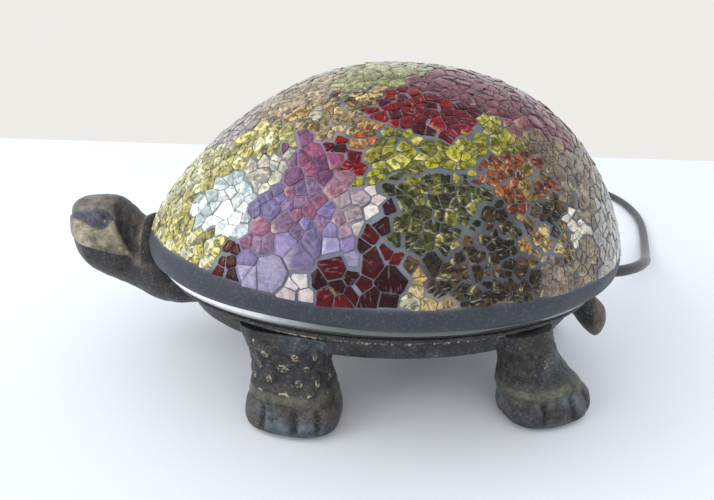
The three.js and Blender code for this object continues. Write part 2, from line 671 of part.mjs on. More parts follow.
function add(name, geometry, look) {
  const mesh = new THREE.Mesh(welded(geometry), new THREE.MeshStandardMaterial(look));
  mesh.name = name;
  lamp.add(mesh);
}

add('shade_glass', shadeGlass(), CLEAR_GLASS);
add('grout_band', groutBand(), GROUT);
const skin = mosaicSkin();
PATCHES.forEach((patch) => add(`mosaic_${patch.name}`, common(skin, patchColumn(patch)), colour(patch.hex, 0.25)));
add('shade_gasket', hoop(turnSteps(AROUND).map((angle) =>
  [[8.6, 54], [12.1, 54], [12.1, 55.3], [8.6, 55.3]].map(([inset, z]) => ovalPoint(inset, z, angle)))), FELT);

add('base_ring', baseRing(), BRONZE);
add('head_neck', headNeck(), BRONZE);
add('tail', tail(), BRONZE);
const screwSeat = FLANGE_TOP + GAP;
LEGS.forEach((leg) => {
  add(`leg_${leg.name}`, legCasting(leg), BRONZE);
  add(`foot_pad_${leg.name}`, footPad(leg), FELT);
  add(`leg_screw_${leg.name}`, panScrew(onFlange(leg.screwX, leg.side), screwSeat, 11), STEEL);
});
add('neck_screw', panScrew(NECK_SCREW, screwSeat, 10), STEEL);
add('tail_screw', panScrew(TAIL_SCREW, screwSeat, 9), STEEL);

add('holder_strap', strap(), STEEL);
add('strap_screw_near', panScrew({ x: 0, y: -STRAP_SCREW_Y }, screwSeat + STRAP_THICKNESS + GAP, 8), STEEL);
add('strap_screw_far', panScrew({ x: 0, y: STRAP_SCREW_Y }, screwSeat + STRAP_THICKNESS + GAP, 8), STEEL);
add('threaded_nipple', turned(tubeSection(NIPPLE_BORE, NIPPLE_RADIUS, 20, 37)), BRASS);
add('nipple_nut', hexNut(14, NIPPLE_RADIUS + GAP, 22.4, STRAP_TOP - STRAP_THICKNESS - GAP), BRASS);
add('lock_washer', turned(tubeSection(NIPPLE_RADIUS + GAP, 8.4, STRAP_TOP + GAP, STRAP_TOP + 1.3)), STEEL);
add('holder_body', holderBody(), BLACK_PLASTIC);
add('holder_sleeve', turned(tubeSection(9, HOLDER_RADIUS, HOLDER_BOTTOM + 26.7, SHELL_MOUTH + 1.4), 18), BLACK_PLASTIC);
add('contact_carrier', turned([[0, 44], [11.3, 44], [11.3, CARRIER_TOP], [0, CARRIER_TOP]]), WHITE_CERAMIC);
add('screw_shell', turned(tubeSection(THREAD_RADIUS + 0.5, 8.2, CARRIER_TOP + GAP, SHELL_MOUTH)), BRASS);
add('centre_contact', turned([[0, 47.8], [3, 47.8], [2.4, 49.6], [0, 49.8]], 12), BRASS);

add('bulb_tip', turned([[0, 50.1], [1.8, 50.3], [2.7, 51.2], [2.7, 53], [0, 53]], 12), STEEL);
add('bulb_cap', bulbCap(), STEEL);
add('bulb_glass', bulbGlass(), CLEAR_GLASS);
add('bulb_stem', bulbStem(), CLEAR_GLASS);

add('strain_relief', strainRelief(), BLACK_PLASTIC);
add('inner_lead', tubeAlong(INNER_LEAD, CORD_RADIUS, 8, 22), CORD_BROWN);
add('cord_run_to_switch', tubeAlong(RUN_TO_SWITCH, CORD_RADIUS, 8, 48), CORD_BROWN);
add('cord_run_to_coil', tubeAlong(RUN_TO_COIL, CORD_RADIUS, 8, 8), CORD_BROWN);
add('cord_run_to_plug', tubeAlong(RUN_TO_PLUG, CORD_RADIUS, 8, 7), CORD_BROWN);
add('cord_coil', cordCoil(), CORD_BROWN);
add('coil_tie', coilTie(), BLACK_PLASTIC);
add('switch_lower', switchShell(0, SWITCH.split - GAP / 2, true), BLACK_PLASTIC);
add('switch_upper', switchShell(SWITCH.split + GAP / 2, SWITCH.height, false), BLACK_PLASTIC);
add('switch_rocker', switchRocker(), BLACK_PLASTIC);
add('plug_body', plugBody(), BLACK_PLASTIC);
add('plug_pin_near', plugPin(-1), BRASS);
add('plug_pin_far', plugPin(1), BRASS);

export default lamp;
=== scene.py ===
"""A turtle-shaped table lamp: a crackle-mosaic glass shell on a cast base with a worn bronze finish.

Shapes are worked out in millimetres about the shell's centre, with the table at z = 0, the head towards -X
and the tail towards +X. They become the frame's metres when a mesh is made."""
import json
import math
import random

import bpy
import numpy as np
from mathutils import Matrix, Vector, noise
from mathutils.bvhtree import BVHTree
from mathutils.kdtree import KDTree


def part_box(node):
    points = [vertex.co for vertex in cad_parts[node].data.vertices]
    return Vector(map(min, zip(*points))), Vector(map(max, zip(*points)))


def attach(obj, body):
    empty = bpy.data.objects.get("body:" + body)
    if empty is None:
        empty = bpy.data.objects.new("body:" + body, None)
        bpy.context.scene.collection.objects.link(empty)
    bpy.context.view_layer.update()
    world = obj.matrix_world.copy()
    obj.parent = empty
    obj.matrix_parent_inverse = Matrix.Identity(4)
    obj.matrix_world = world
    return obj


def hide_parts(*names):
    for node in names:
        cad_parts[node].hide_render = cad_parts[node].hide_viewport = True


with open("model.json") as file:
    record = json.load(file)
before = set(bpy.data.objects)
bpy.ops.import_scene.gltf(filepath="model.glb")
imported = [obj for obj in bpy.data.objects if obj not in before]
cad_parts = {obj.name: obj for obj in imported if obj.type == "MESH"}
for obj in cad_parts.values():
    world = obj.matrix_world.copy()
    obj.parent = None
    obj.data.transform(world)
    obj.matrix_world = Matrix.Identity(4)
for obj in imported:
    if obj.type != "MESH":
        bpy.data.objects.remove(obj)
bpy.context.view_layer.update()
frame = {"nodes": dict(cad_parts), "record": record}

# ---- Driving dimensions ----
MM = 0.001
band_low, band_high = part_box("grout_band")
SHELL_X = (band_low.x + band_high.x) / 2
HALF_LENGTH = (band_high.x - band_low.x) / 2 / MM
HALF_WIDTH = (band_high.y - band_low.y) / 2 / MM
RIM_HEIGHT = 68
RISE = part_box("mosaic_pale_crown")[1].z / MM - RIM_HEIGHT
CROWN_FULLNESS = 2.18
SHOULDER_FULLNESS = 1.35
CROWN_SHIFT = 3.7
FLANK_SHIFT = 26
LIP_DEPTH = 12.3
LIP_TUCK = 5.3
BAND_LIP_SHARE = 0.46
BARE_LIP_SHARE = 0.13
BARE_LIP_MIDDLE = math.radians(-160)
GLASS_INSET = 2.3
GLASS_THICKNESS = 2.7
TAU = 2 * math.pi


def to_frame(points):
    """Millimetres about the shell's centre, as metres in the frame."""
    return np.asarray(points, float) * MM + (SHELL_X, 0, 0)


# ---- Camera ----
CAMERA_AZIMUTH = math.radians(5.01)
CAMERA_ELEVATION = math.radians(21.51)
CAMERA_ROLL = math.radians(0.82)
CAMERA_DISTANCE = 0.28346
CAMERA_LENS = 28.85
CAMERA_AIM = Vector((0.0102, -0.001, 0.05715))


def make_camera():
    data = bpy.data.cameras.new("camera")
    data.lens = CAMERA_LENS
    data.clip_start = 0.01
    camera = bpy.data.objects.new("camera", data)
    bpy.context.scene.collection.objects.link(camera)
    back = Vector((
        math.sin(CAMERA_AZIMUTH) * math.cos(CAMERA_ELEVATION),
        -math.cos(CAMERA_AZIMUTH) * math.cos(CAMERA_ELEVATION),
        math.sin(CAMERA_ELEVATION)))
    camera.location = CAMERA_AIM + back * CAMERA_DISTANCE
    facing = (-back).to_track_quat("-Z", "Y").to_matrix().to_4x4()
    roll = facing @ facing.Rotation(CAMERA_ROLL, 4, "Z")
    camera.rotation_euler = roll.to_euler()
    bpy.context.scene.camera = camera


# ---- Meshes ----
def add_object(name, data, body, nodes=()):
    made = bpy.data.objects.new(name, data)
    bpy.context.scene.collection.objects.link(made)
    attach(made, body)
    if nodes:
        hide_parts(*nodes)
    return made


def piece(name, points, faces, look, body, nodes=(), smooth=True, tint=None, flaw=None):
    """A mesh piece. smooth is one value or one for each face; tint is a colour and a fourth number a point,
    and flaw a place in its own glass for each point, stretched along the streaks in it."""
    mesh = bpy.data.meshes.new(name)
    mesh.from_pydata(to_frame(points).tolist(), [], [list(map(int, face)) for face in faces])
    mesh.materials.append(look)
    flags = [smooth] * len(mesh.polygons) if isinstance(smooth, bool) else list(smooth)
    mesh.polygons.foreach_set("use_smooth", flags)
    if tint is not None:
        layer = mesh.attributes.new("tint", "FLOAT_COLOR", "POINT")
        layer.data.foreach_set("color", np.asarray(tint, np.float32).ravel())
    if flaw is not None:
        layer = mesh.attributes.new("flaw", "FLOAT_VECTOR", "POINT")
        layer.data.foreach_set("vector", np.asarray(flaw, np.float32).ravel())
    mesh.update()
    return add_object(name, mesh, body, nodes)


def bands(first, second, count):
    """The four-sided faces between two rows of points."""
    return [(first + i, first + (i + 1) % count, second + (i + 1) % count, second + i) for i in range(count)]


def skin(rows, start=None, end=None):
    """Points and faces of a skin over rings of points, closed by a fan to one point at each end."""
    count = len(rows[0])
    points = [tuple(p) for row in rows for p in row]
    faces = []
    for r in range(len(rows) - 1):
        faces += bands(r * count, (r + 1) * count, count)
    last = (len(rows) - 1) * count
    for point, ring, turned_over in ((start, 0, True), (end, last, False)):
        if point is None:
            continue
        tip = len(points)
        points.append(tuple(point))
        for i in range(count):
            j = (i + 1) % count
            faces.append((ring + j, ring + i, tip) if turned_over else (ring + i, ring + j, tip))
    return points, faces


def hoop(sections):
    """Points and faces of a closed section carried round a closed path."""
    count = len(sections[0])
    points = [tuple(p) for section in sections for p in section]
    faces = []
    for k in range(len(sections)):
        faces += bands(k * count, ((k + 1) % len(sections)) * count, count)
    return points, faces


def turned(profile, sides=64, centre=(0, 0), thread=None):
    """A profile of (radius, z) turned round Z. Ends at radius 0 close to a point, and others join up.
    thread is (bottom, top, pitch, depth) of a screw thread pressed into the wall."""
    rows = []
    for radius, z in profile:
        row = []
        for i in range(sides):
            angle = TAU * i / sides
            reach = radius
            if thread and thread[0] <= z <= thread[1] and radius > 0:
                fade = min(1, (z - thread[0]) / thread[2], (thread[1] - z) / thread[2])
                turn = TAU * z / thread[2] - angle
                reach += thread[3] * fade * math.cos(turn)
            row.append((centre[0] + reach * math.cos(angle), centre[1] + reach * math.sin(angle), z))
        rows.append(row)
    open_start, open_end = profile[0][0] > 0, profile[-1][0] > 0
    if open_start and open_end:
        return hoop(rows) if len(rows) > 2 else skin(rows)
    first = None if open_start else (centre[0], centre[1], profile[0][1])
    last = None if open_end else (centre[0], centre[1], profile[-1][1])
    return skin(rows[(first is not None):len(rows) - (last is not None)], first, last)


def along_x(points, y, z):
    """Turns points about Z into points about a line along X."""
    return [(p[2], y + p[0], z + p[1]) for p in points]


def eased(stations, at):
    """A smooth curve through rows of (position, values...), read at the positions given."""
    table = np.asarray(stations, float)
    xs, ys = table[:, 0], table[:, 1:]
    slopes = np.gradient(ys, xs, axis=0)
    at = np.clip(np.asarray(at, float), xs[0], xs[-1])
    k = np.clip(np.searchsorted(xs, at) - 1, 0, len(xs) - 2)
    span = (xs[k + 1] - xs[k])[:, None]
    t = ((at - xs[k])[:, None]) / span
    near, far = (1 + 2 * t) * (1 - t) ** 2, t * t * (3 - 2 * t)
    rising, falling = t * (1 - t) ** 2 * slopes[k], t * t * (1 - t) * slopes[k + 1]
    return near * ys[k] + far * ys[k + 1] + span * (rising - falling)


def smoothstep(low, high, value):
    t = np.clip((np.asarray(value, float) - low) / (high - low), 0, 1)
    return t * t * (3 - 2 * t)


def bump(distance, width):
    return np.exp(-(np.asarray(distance, float) / width) ** 2)


def cloud(points, scale, seed=0.0):
    """Smooth noise from -1 to 1 at each point; scale is the size of its blobs in millimetres."""
    return np.array([noise.noise(Vector((p[0] / scale + seed, p[1] / scale, p[2] / scale))) for p in points])


def blend_tint(base, other, share):
    return base * (1 - share[:, None]) + np.asarray(other) * share[:, None]


def colour(red, green, blue):
    """A colour given as 0 to 255 on a screen, as linear numbers."""
    share = np.array([red, green, blue]) / 255
    return np.where(share <= 0.04045, share / 12.92, ((share + 0.055) / 1.055) ** 2.4)


# ---- Materials ----
def new_look(name, **sockets):
    look = bpy.data.materials.new(name)
    look.use_nodes = True
    shader = look.node_tree.nodes["Principled BSDF"]
    for socket, value in sockets.items():
        shader.inputs[socket.replace("_", " ")].default_value = value
    return look, look.node_tree, shader


def node(tree, kind, sockets=None, **settings):
    """A node with its settings, and its sockets set to a value or joined to another node's output."""
    made = tree.nodes.new("ShaderNode" + kind)
    for key, value in settings.items():
        setattr(made, key, value)
    for key, value in (sockets or {}).items():
        if isinstance(value, bpy.types.NodeSocket):
            tree.links.new(value, made.inputs[key])
        else:
            made.inputs[key].default_value = value
    return made


def place_of(tree):
    return node(tree, "TexCoord").outputs["Object"]


def tint_of(tree):
    """The piece's tint at each point, painted light and shade included where it has them, with a fourth
    number in its alpha.
    """
    return node(tree, "Attribute", attribute_name="tint").outputs


def levelled(tree, base, level):
    """base made darker or lighter by a level."""
    return node(tree, "VectorMath", {0: base, "Scale": level}, operation="SCALE").outputs[0]


def noise_of(tree, vector, scale, detail=3.0, roughness=0.55):
    sockets = {"Vector": vector, "Scale": scale, "Detail": detail, "Roughness": roughness}
    return node(tree, "TexNoise", sockets).outputs["Fac"]


def ranged(tree, value, low, high, to_low, to_high, smooth=False):
    """value from low to high, moved to to_low to to_high."""
    sockets = {"Value": value, "From Min": low, "From Max": high, "To Min": to_low, "To Max": to_high}
    settings = {"interpolation_type": "SMOOTHSTEP"} if smooth else {"clamp": True}
    return node(tree, "MapRange", sockets, **settings).outputs["Result"]


def mixed(tree, share, first, second):
    made = node(tree, "Mix", {"Factor": share}, data_type="RGBA")
    for socket, value in ((6, first), (7, second)):
        if isinstance(value, bpy.types.NodeSocket):
            tree.links.new(value, made.inputs[socket])
        else:
            made.inputs[socket].default_value = (*value, 1)
    return made.outputs[2]


def maths(tree, operation, first, second):
    return node(tree, "Math", {0: first, 1: second}, operation=operation).outputs[0]


def bumped(tree, shader, height, strength, distance):
    made = node(tree, "Bump", {"Height": height, "Strength": strength, "Distance": distance})
    tree.links.new(made.outputs["Normal"], shader.inputs["Normal"])


def streaks_of(tree):
    """Streaks that run one way in each chip."""
    flaw = node(tree, "Attribute", attribute_name="flaw").outputs["Vector"]
    return noise_of(tree, flaw, 1.1, 2.5, 0.5)


def crackle_look(name):
    """Glass chips: each has its own tint, broken up by fracture planes inside it that catch the light; that
    light and shade is painted into the colour, with painted glints along the streaks.
    """
    look, tree, shader = new_look(
        name, Roughness=0.1, IOR=1.5, Specular_IOR_Level=0.16, Coat_Weight=0.06, Coat_Roughness=0.03,
        Sheen_Weight=0.22, Sheen_Roughness=0.3, Sheen_Tint=(1, 0.97, 0.94, 1))
    tint = tint_of(tree)
    place = place_of(tree)
    warp = node(tree, "TexNoise", {"Vector": place, "Scale": 300.0, "Detail": 2.0}).outputs["Color"]
    bent = node(tree, "VectorMath", {0: warp, 1: (0.003, 0.003, 0.003)}, operation="MULTIPLY")
    where = node(tree, "VectorMath", {0: place, 1: bent.outputs[0]}, operation="ADD").outputs[0]
    planes = node(tree, "TexVoronoi", {"Vector": where, "Scale": 620.0})
    shade = node(tree, "SeparateColor", {"Color": planes.outputs["Color"]}).outputs["Red"]
    fine = noise_of(tree, where, 900.0, 4.0, 0.7)
    crackle = tint["Alpha"]
    # Each fracture plane gets its own level of painted light and shade.
    broken = maths(tree, "MULTIPLY", ranged(tree, fine, 0.3, 0.7, 0.6, 1.4), shade)
    broken = maths(tree, "ADD", broken, ranged(tree, streaks_of(tree), 0.35, 0.65, -0.25, 0.25))
    darkest = ranged(tree, crackle, 0.0, 1.0, 0.94, 0.3)
    brightest = ranged(tree, crackle, 0.0, 1.0, 1.06, 2.1)
    level = node(tree, "MapRange", {
        "Value": broken, "From Min": 0.1, "From Max": 0.9, "To Min": darkest, "To Max": brightest})
    level = level.outputs["Result"]
    lit = levelled(tree, tint["Color"], level)
    # Painted glints: a pale colour mixed in along the strongest streaks.
    glint = maths(tree, "MULTIPLY", ranged(tree, streaks_of(tree), 0.6, 0.68, 0.0, 1.0, smooth=True), crackle)
    painted_highlight = mixed(tree, 0.35, lit, (0.85, 0.85, 0.78))
    base = mixed(tree, maths(tree, "MULTIPLY", glint, 0.7), lit, painted_highlight)
    tree.links.new(base, shader.inputs["Base Color"])
    ripple = noise_of(tree, place, 420.0, 3.0)
    height = maths(tree, "ADD", ripple, maths(tree, "MULTIPLY", planes.outputs["Distance"], 0.8))
    bumped(tree, shader, height, 0.2, 0.0005)
    return look


def grout_look():
    """Grout in the shade of its point tint: slate darkened with painted shade in the plain band, paler
    between the chips.
    """
    look, tree, shader = new_look("grout", Roughness=0.5, Coat_Weight=0.12, Coat_Roughness=0.35)
    tint = tint_of(tree)["Color"]
    place = place_of(tree)
    coarse = noise_of(tree, place, 70.0, 4.0)
    fine = noise_of(tree, place, 900.0, 3.0)
    level = ranged(tree, coarse, 0.3, 0.7, 0.68, 1.35)
    base = levelled(tree, tint, level)
    speckled = mixed(tree, ranged(tree, fine, 0.52, 0.78, 0.0, 0.35), base, (0.17, 0.18, 0.2))
    tree.links.new(speckled, shader.inputs["Base Color"])
    tree.links.new(ranged(tree, coarse, 0.3, 0.7, 0.45, 0.65), shader.inputs["Roughness"])
    bumped(tree, shader, fine, 0.3, 0.0003)
    return look


def casting_look():
    """Blackened casting. The point tint gives the patina, and its alpha where gold shows through from wear,
    along with painted highlights on the head and tail.
    """
    look, tree, shader = new_look("bronze", Roughness=0.4, Metallic=0.35)
    tint = tint_of(tree)
    place = place_of(tree)
    blotch = noise_of(tree, place, 160.0, 5.0, 0.62)
    grain = noise_of(tree, place, 850.0, 4.0, 0.75)
    shade = ranged(tree, blotch, 0.3, 0.7, 0.3, 1.9)
    dulled = levelled(tree, tint["Color"], shade)
    pitted = mixed(tree, ranged(tree, grain, 0.36, 0.46, 0.6, 0.0), dulled, (0.008, 0.007, 0.008))
    specks = ranged(tree, grain, 0.54, 0.66, 0.0, 0.8)
    dust = maths(tree, "MULTIPLY", specks, ranged(tree, blotch, 0.4, 0.6, 0.35, 1.0))
    dusted = mixed(tree, dust, pitted, (0.2, 0.19, 0.18))
    wear_and_highlights = maths(tree, "ADD", tint["Alpha"], ranged(tree, grain, 0.3, 0.7, -0.38, 0.38))
    wear_and_highlights = maths(tree, "ADD", wear_and_highlights, ranged(tree, blotch, 0.3, 0.7, -0.2, 0.2))
    gold = ranged(tree, wear_and_highlights, 0.5, 0.72, 0.0, 1.0, smooth=True)
    golden = mixed(tree, ranged(tree, grain, 0.3, 0.7, 0.0, 1.0), (0.26, 0.2, 0.12), (0.62, 0.53, 0.37))
    tree.links.new(mixed(tree, gold, dusted, golden), shader.inputs["Base Color"])
    tree.links.new(ranged(tree, gold, 0.0, 1.0, 0.35, 0.8), shader.inputs["Metallic"])
    tree.links.new(ranged(tree, blotch, 0.3, 0.7, 0.26, 0.5), shader.inputs["Roughness"])
    relief = maths(tree, "ADD", grain, maths(tree, "MULTIPLY", blotch, 1.5))
    bumped(tree, shader, relief, 0.8, 0.0009)
    return look


def glass_look(name, tint, roughness=0.02):
    look, tree, shader = new_look(
        name, Roughness=roughness, IOR=1.48, Transmission_Weight=1.0, Base_Color=(*tint, 1))
    waves = noise_of(tree, place_of(tree), 45.0, 2.0)
    bumped(tree, shader, waves, 0.08, 0.001)
    return look


def lip_look():
    """The bare rolled lip of the shell, in its point tint with a painted reflection: it is thick enough to
    hide what is behind it.
    """
    look, tree, shader = new_look(
        "rolled_glass_edge", Roughness=0.06, IOR=1.55, Coat_Weight=0.5, Coat_Roughness=0.02)
    tint = tint_of(tree)["Color"]
    place = place_of(tree)
    level = ranged(tree, noise_of(tree, place, 90.0, 3.0), 0.3, 0.7, 0.82, 1.15)
    base = levelled(tree, tint, level)
    tree.links.new(base, shader.inputs["Base Color"])
    bumped(tree, shader, noise_of(tree, place, 45.0, 2.0), 0.08, 0.001)
    return look


def plain_look(name, dark, light, roughness, grain_scale, metallic=0.0, relief=0.2, depth=0.0002, **sockets):
    """A moulded, turned or woven surface: two near shades in fine grain, with its roughness and bump."""
    look, tree, shader = new_look(name, Metallic=metallic, **sockets)
    place = place_of(tree)
    grain = noise_of(tree, place, grain_scale, 4.0, 0.6)
    base = mixed(tree, ranged(tree, grain, 0.3, 0.7, 0.0, 1.0), dark, light)
    tree.links.new(base, shader.inputs["Base Color"])
    spread = ranged(tree, grain, 0.3, 0.7, roughness * 0.82, min(1.0, roughness * 1.2))
    tree.links.new(spread, shader.inputs["Roughness"])
    bumped(tree, shader, grain, relief, depth)
    return look


CRACKLE = {f"mosaic_{name}": crackle_look(f"glass_chips_mosaic_{name}") for name in (
    "yellow", "clear", "amber", "pale", "red", "violet", "taupe")}
GROUT = grout_look()
CASTING = casting_look()
SHELL_GLASS = glass_look("clear_glass", (0.93, 0.96, 0.95))
LIP_GLASS = lip_look()
BULB_GLASS = glass_look("bulb_glass", (0.98, 0.98, 0.97), 0.01)
FELT = plain_look("felt", (0.012, 0.011, 0.01), (0.045, 0.04, 0.035), 0.95, 1600.0, relief=0.8, depth=0.0004)
STEEL = plain_look("steel", (0.42, 0.42, 0.41), (0.62, 0.62, 0.6), 0.34, 500.0, metallic=1.0)
BRASS = plain_look("brass", (0.5, 0.34, 0.1), (0.7, 0.5, 0.2), 0.28, 450.0, metallic=1.0)
PLASTIC = plain_look("black_plastic", (0.013, 0.012, 0.012), (0.024, 0.022, 0.021), 0.42, 1400.0, relief=0.25)
CERAMIC = plain_look("ceramic", (0.6, 0.58, 0.52), (0.78, 0.76, 0.7), 0.6, 700.0, relief=0.3)
SHEATH = plain_look("cord_sheath", (0.026, 0.021, 0.019), (0.05, 0.042, 0.038), 0.36, 350.0, relief=0.15)
TUNGSTEN = plain_look("tungsten", (0.12, 0.12, 0.12), (0.2, 0.2, 0.19), 0.4, 900.0, metallic=1.0)

# ---- Cord ----
CORD_RADIUS = 2.9
OUTLET = (16, 45)
COIL = {"x": -30, "y": 150, "z": 4, "radius": 31, "spacing": 5.9}
RUN_TO_SWITCH = [
    (95, 16, 45), (104, 16, 45), (113.5, 16, 45), (122.5, 18, 44.7), (130.5, 23.5, 44), (138, 32, 42.5),
    (145, 43.5, 40), (151.5, 57, 36), (158.5, 73, 30.5), (166, 91, 24), (174.5, 111, 17),
    (183.5, 132, 10.8), (192.5, 155, 6.2), (201.5, 180, 3.8), (210, 206, 3), (217.5, 234, 3),
    (222, 263, 3), (222.5, 292, 3), (218, 319, 3), (207, 342, 3), (190, 357, 3), (168, 362, 3),
    (145, 356, 3), (125, 341, 3), (109, 320, 3), (95, 297, 3), (81, 275, 3.6), (66, 256, 6.4),
    (52, 246, 9), (40, 243, 9.6), (28, 243, 9.6),
]
RUN_TO_COIL = [
    (-22, 243, 9.6), (-32, 243, 9.6), (-46, 239, 6.8), (-57, 229, 4.6), (-63.5, 214, 4), (-66.5, 197, 4),
    (-67.2, 179, 4),
]
RUN_TO_PLUG = [
    (5.5, 176, 7), (4.3, 183, 5.2), (4, 190, 4.4), (5.8, 199.2, 4.6), (11, 207, 5.3), (18.8, 212.2, 6.2),
    (28, 214, 6.8), (36, 214, 6.85), (46, 214, 6.85),
]
INNER_LEAD = [
    (0, 0, 36), (0, 0, 28), (0, 0, 19.5), (4, 1, 12), (14, 4, 8.5), (30, 8, 10), (46, 12.5, 20), (57, 15, 33),
    (66, 16, 42.5), (75, 16, 45), (84, 16, 45), (94.5, 16, 45),
]


def coil_turns():
    """Four and a half turns in two layers: in from the outer turn on the table, up, and out again on top."""
    steps_per_turn, turns = 18, 4.5
    points = []
    for k in range(int(steps_per_turn * turns) + 1):
        turn = k / steps_per_turn
        inward = sum(smoothstep(start, start + 0.12, turn) for start in (0.88, 1.88))
        outward = sum(smoothstep(start, start + 0.13, turn) for start in (2.75, 3.65))
        climb = smoothstep(2.18, 2.4, turn)
        radius = COIL["radius"] + COIL["spacing"] * (1 - inward + outward)
        angle = math.pi + TAU * turn
        points.append((
            COIL["x"] + radius * math.cos(angle), COIL["y"] + radius * math.sin(angle),
            COIL["z"] + COIL["spacing"] * climb))
    return points


def cable(name, route, body, nodes):
    data = bpy.data.curves.new(name, "CURVE")
    data.dimensions = "3D"
    data.resolution_u = 5
    data.bevel_depth = CORD_RADIUS * MM
    data.bevel_resolution = 6
    data.use_fill_caps = True
    line = data.splines.new("BEZIER")
    line.bezier_points.add(len(route) - 1)
    for knot, place in zip(line.bezier_points, to_frame(route)):
        knot.co = place
        knot.handle_left_type = knot.handle_right_type = "AUTO"
    data.materials.append(SHEATH)
    return add_object(name, data, body, nodes)


make_camera()
cord = cable(
    "mains_cord", RUN_TO_SWITCH + RUN_TO_COIL + coil_turns() + RUN_TO_PLUG, "base",
    ["cord_run_to_switch", "cord_run_to_coil", "cord_run_to_plug", "cord_coil"])
cable("lead_inside", INNER_LEAD, "base", ["inner_lead"])


def turn_between(angle, middle):
    """How far angle is turned past middle, from half a turn back to half a turn on."""
    return np.angle(np.exp(1j * (np.asarray(angle) - middle)))


# ---- The oval shell's surface ----
def oval_point(inset, z, angle):
    angle = np.asarray(angle, float)
    x = (HALF_LENGTH - inset) * np.cos(angle)
    y = (HALF_WIDTH - inset) * np.sin(angle)
    return np.stack([x, y, z + 0 * x], -1)


def crown_point(share, angle, inset):
    """A point above the widest line; share runs from 0 at the top to 1 at the widest line."""
    point = oval_point(inset, 0, angle) * share
    point[..., 0] += CROWN_SHIFT * (1 - share * share) + FLANK_SHIFT * share * (1 - share)
    fall = (1 - share ** CROWN_FULLNESS) ** (1 / SHOULDER_FULLNESS)
    point[..., 2] = RIM_HEIGHT + (RISE - inset) * fall
    return point


def lip_point(turn, angle, inset):
    """A point below the widest line; turn runs from 0 there to 1 at the bottom edge."""
    swing = np.asarray(turn) * math.pi / 2
    return oval_point(inset + LIP_TUCK * (1 - np.cos(swing)), RIM_HEIGHT - LIP_DEPTH * np.sin(swing), angle)


def band_edge(angle):
    """The turn at which the grout band ends: it leaves the lip bare from the neck to the front leg."""
    apart = np.abs(turn_between(angle, BARE_LIP_MIDDLE))
    wobble = 0.012 * np.sin(5 * angle + 1) + 0.008 * np.sin(11 * angle)
    return BAND_LIP_SHARE - BARE_LIP_SHARE * (1 - smoothstep(0.7, 1.5, apart)) + wobble


def share_at_rise(rise):
    return (1 - (rise / RISE) ** SHOULDER_FULLNESS) ** (1 / CROWN_FULLNESS)


def turn_angles(count):
    return np.arange(count) * TAU / count


SHELL_STEPS = 160


def shell_rows(inset_crown, inset_lip, lowest_turn):
    """Rings from the top down to lowest_turn of the lip, at insets given as functions of share and turn."""
    angles = turn_angles(SHELL_STEPS)
    shares = np.sin(np.linspace(0.035, math.pi / 2, 46))
    rows = [crown_point(share, angles, inset_crown(share)) for share in shares]
    turns = np.linspace(0, lowest_turn, 9)[1:]
    return rows + [lip_point(turn, angles, inset_lip(turn)) for turn in turns]


def crown_top(inset):
    return (CROWN_SHIFT, 0, RIM_HEIGHT + RISE - inset)


# ---- Mosaic colours ----
# Each glass: its shades, how strongly it is crackled inside, which also sets the painted light and shade of
# its inner facets, and how often its broken edges catch a painted highlight.
GLASSES = {
    "yellow": ([(166, 156, 86), (139, 131, 78), (186, 176, 108), (195, 190, 150)], 0.75, 0.5),
    "lemon": ([(146, 139, 34), (126, 120, 40), (160, 153, 72), (104, 99, 34)], 0.75, 0.45),
    "olive": ([(80, 76, 26), (60, 58, 24), (106, 100, 40), (48, 46, 22)], 0.9, 0.7),
    # The clear glass's pure white shade makes some of its chips painted glints.
    "clear": ([(204, 213, 209), (224, 229, 222), (183, 191, 189), (255, 255, 255)], 0.35, 0.4),
    "cream": ([(194, 184, 167), (213, 198, 180), (177, 175, 157)], 0.45, 0.3),
    "pink_grey": ([(160, 145, 141), (151, 141, 135), (168, 153, 151)], 0.4, 0.3),
    "tan": ([(155, 134, 107), (141, 124, 100), (164, 141, 119)], 0.6, 0.4),
    "amber": ([(152, 125, 75), (137, 119, 85), (162, 143, 100), (150, 145, 118)], 0.75, 0.5),
    "orange": ([(150, 77, 36), (141, 101, 52), (146, 115, 73)], 0.8, 0.4),
    "gold": ([(128, 100, 58), (104, 82, 48), (162, 138, 92), (90, 66, 42)], 0.9, 0.6),
    "pale_green": ([(148, 146, 89), (161, 158, 109), (134, 132, 86)], 0.5, 0.3),
    "crimson": ([(89, 12, 23), (70, 12, 23), (103, 23, 31), (119, 11, 17)], 0.55, 0.12),
    "dark_red": ([(66, 1, 8), (42, 1, 6), (84, 3, 11)], 0.35, 0.02),
    "mauve": ([(109, 64, 69), (123, 73, 76), (100, 56, 63)], 0.45, 0.2),
    "purple": ([(122, 74, 106), (106, 64, 94), (136, 72, 98)], 0.35, 0.2),
    "violet": ([(119, 94, 126), (129, 100, 126), (140, 88, 112), (112, 98, 136)], 0.3, 0.3),
    "lilac": ([(146, 136, 170), (160, 150, 178), (132, 118, 156)], 0.15, 0.2),
    "salmon": ([(157, 127, 141), (167, 147, 151), (145, 102, 115)], 0.3, 0.3),
    "cream_pink": ([(194, 177, 172), (203, 192, 187)], 0.15, 0.1),
    "rust": ([(111, 52, 29), (94, 46, 32), (129, 70, 35), (120, 94, 42)], 0.85, 0.5),
    "brown_mauve": ([(117, 93, 74), (103, 84, 71), (127, 101, 78)], 0.5, 0.3),
    "brown": ([(54, 41, 24), (40, 31, 19), (74, 54, 31)], 0.85, 0.4),
    "dark_brown": ([(41, 32, 19), (56, 44, 23), (34, 28, 19)], 0.8, 0.6),
    "taupe": ([(130, 115, 98), (143, 126, 109), (113, 99, 85)], 0.4, 0.25),
    "pale_taupe": ([(162, 156, 147), (178, 172, 162), (147, 143, 135)], 0.3, 0.15),
}
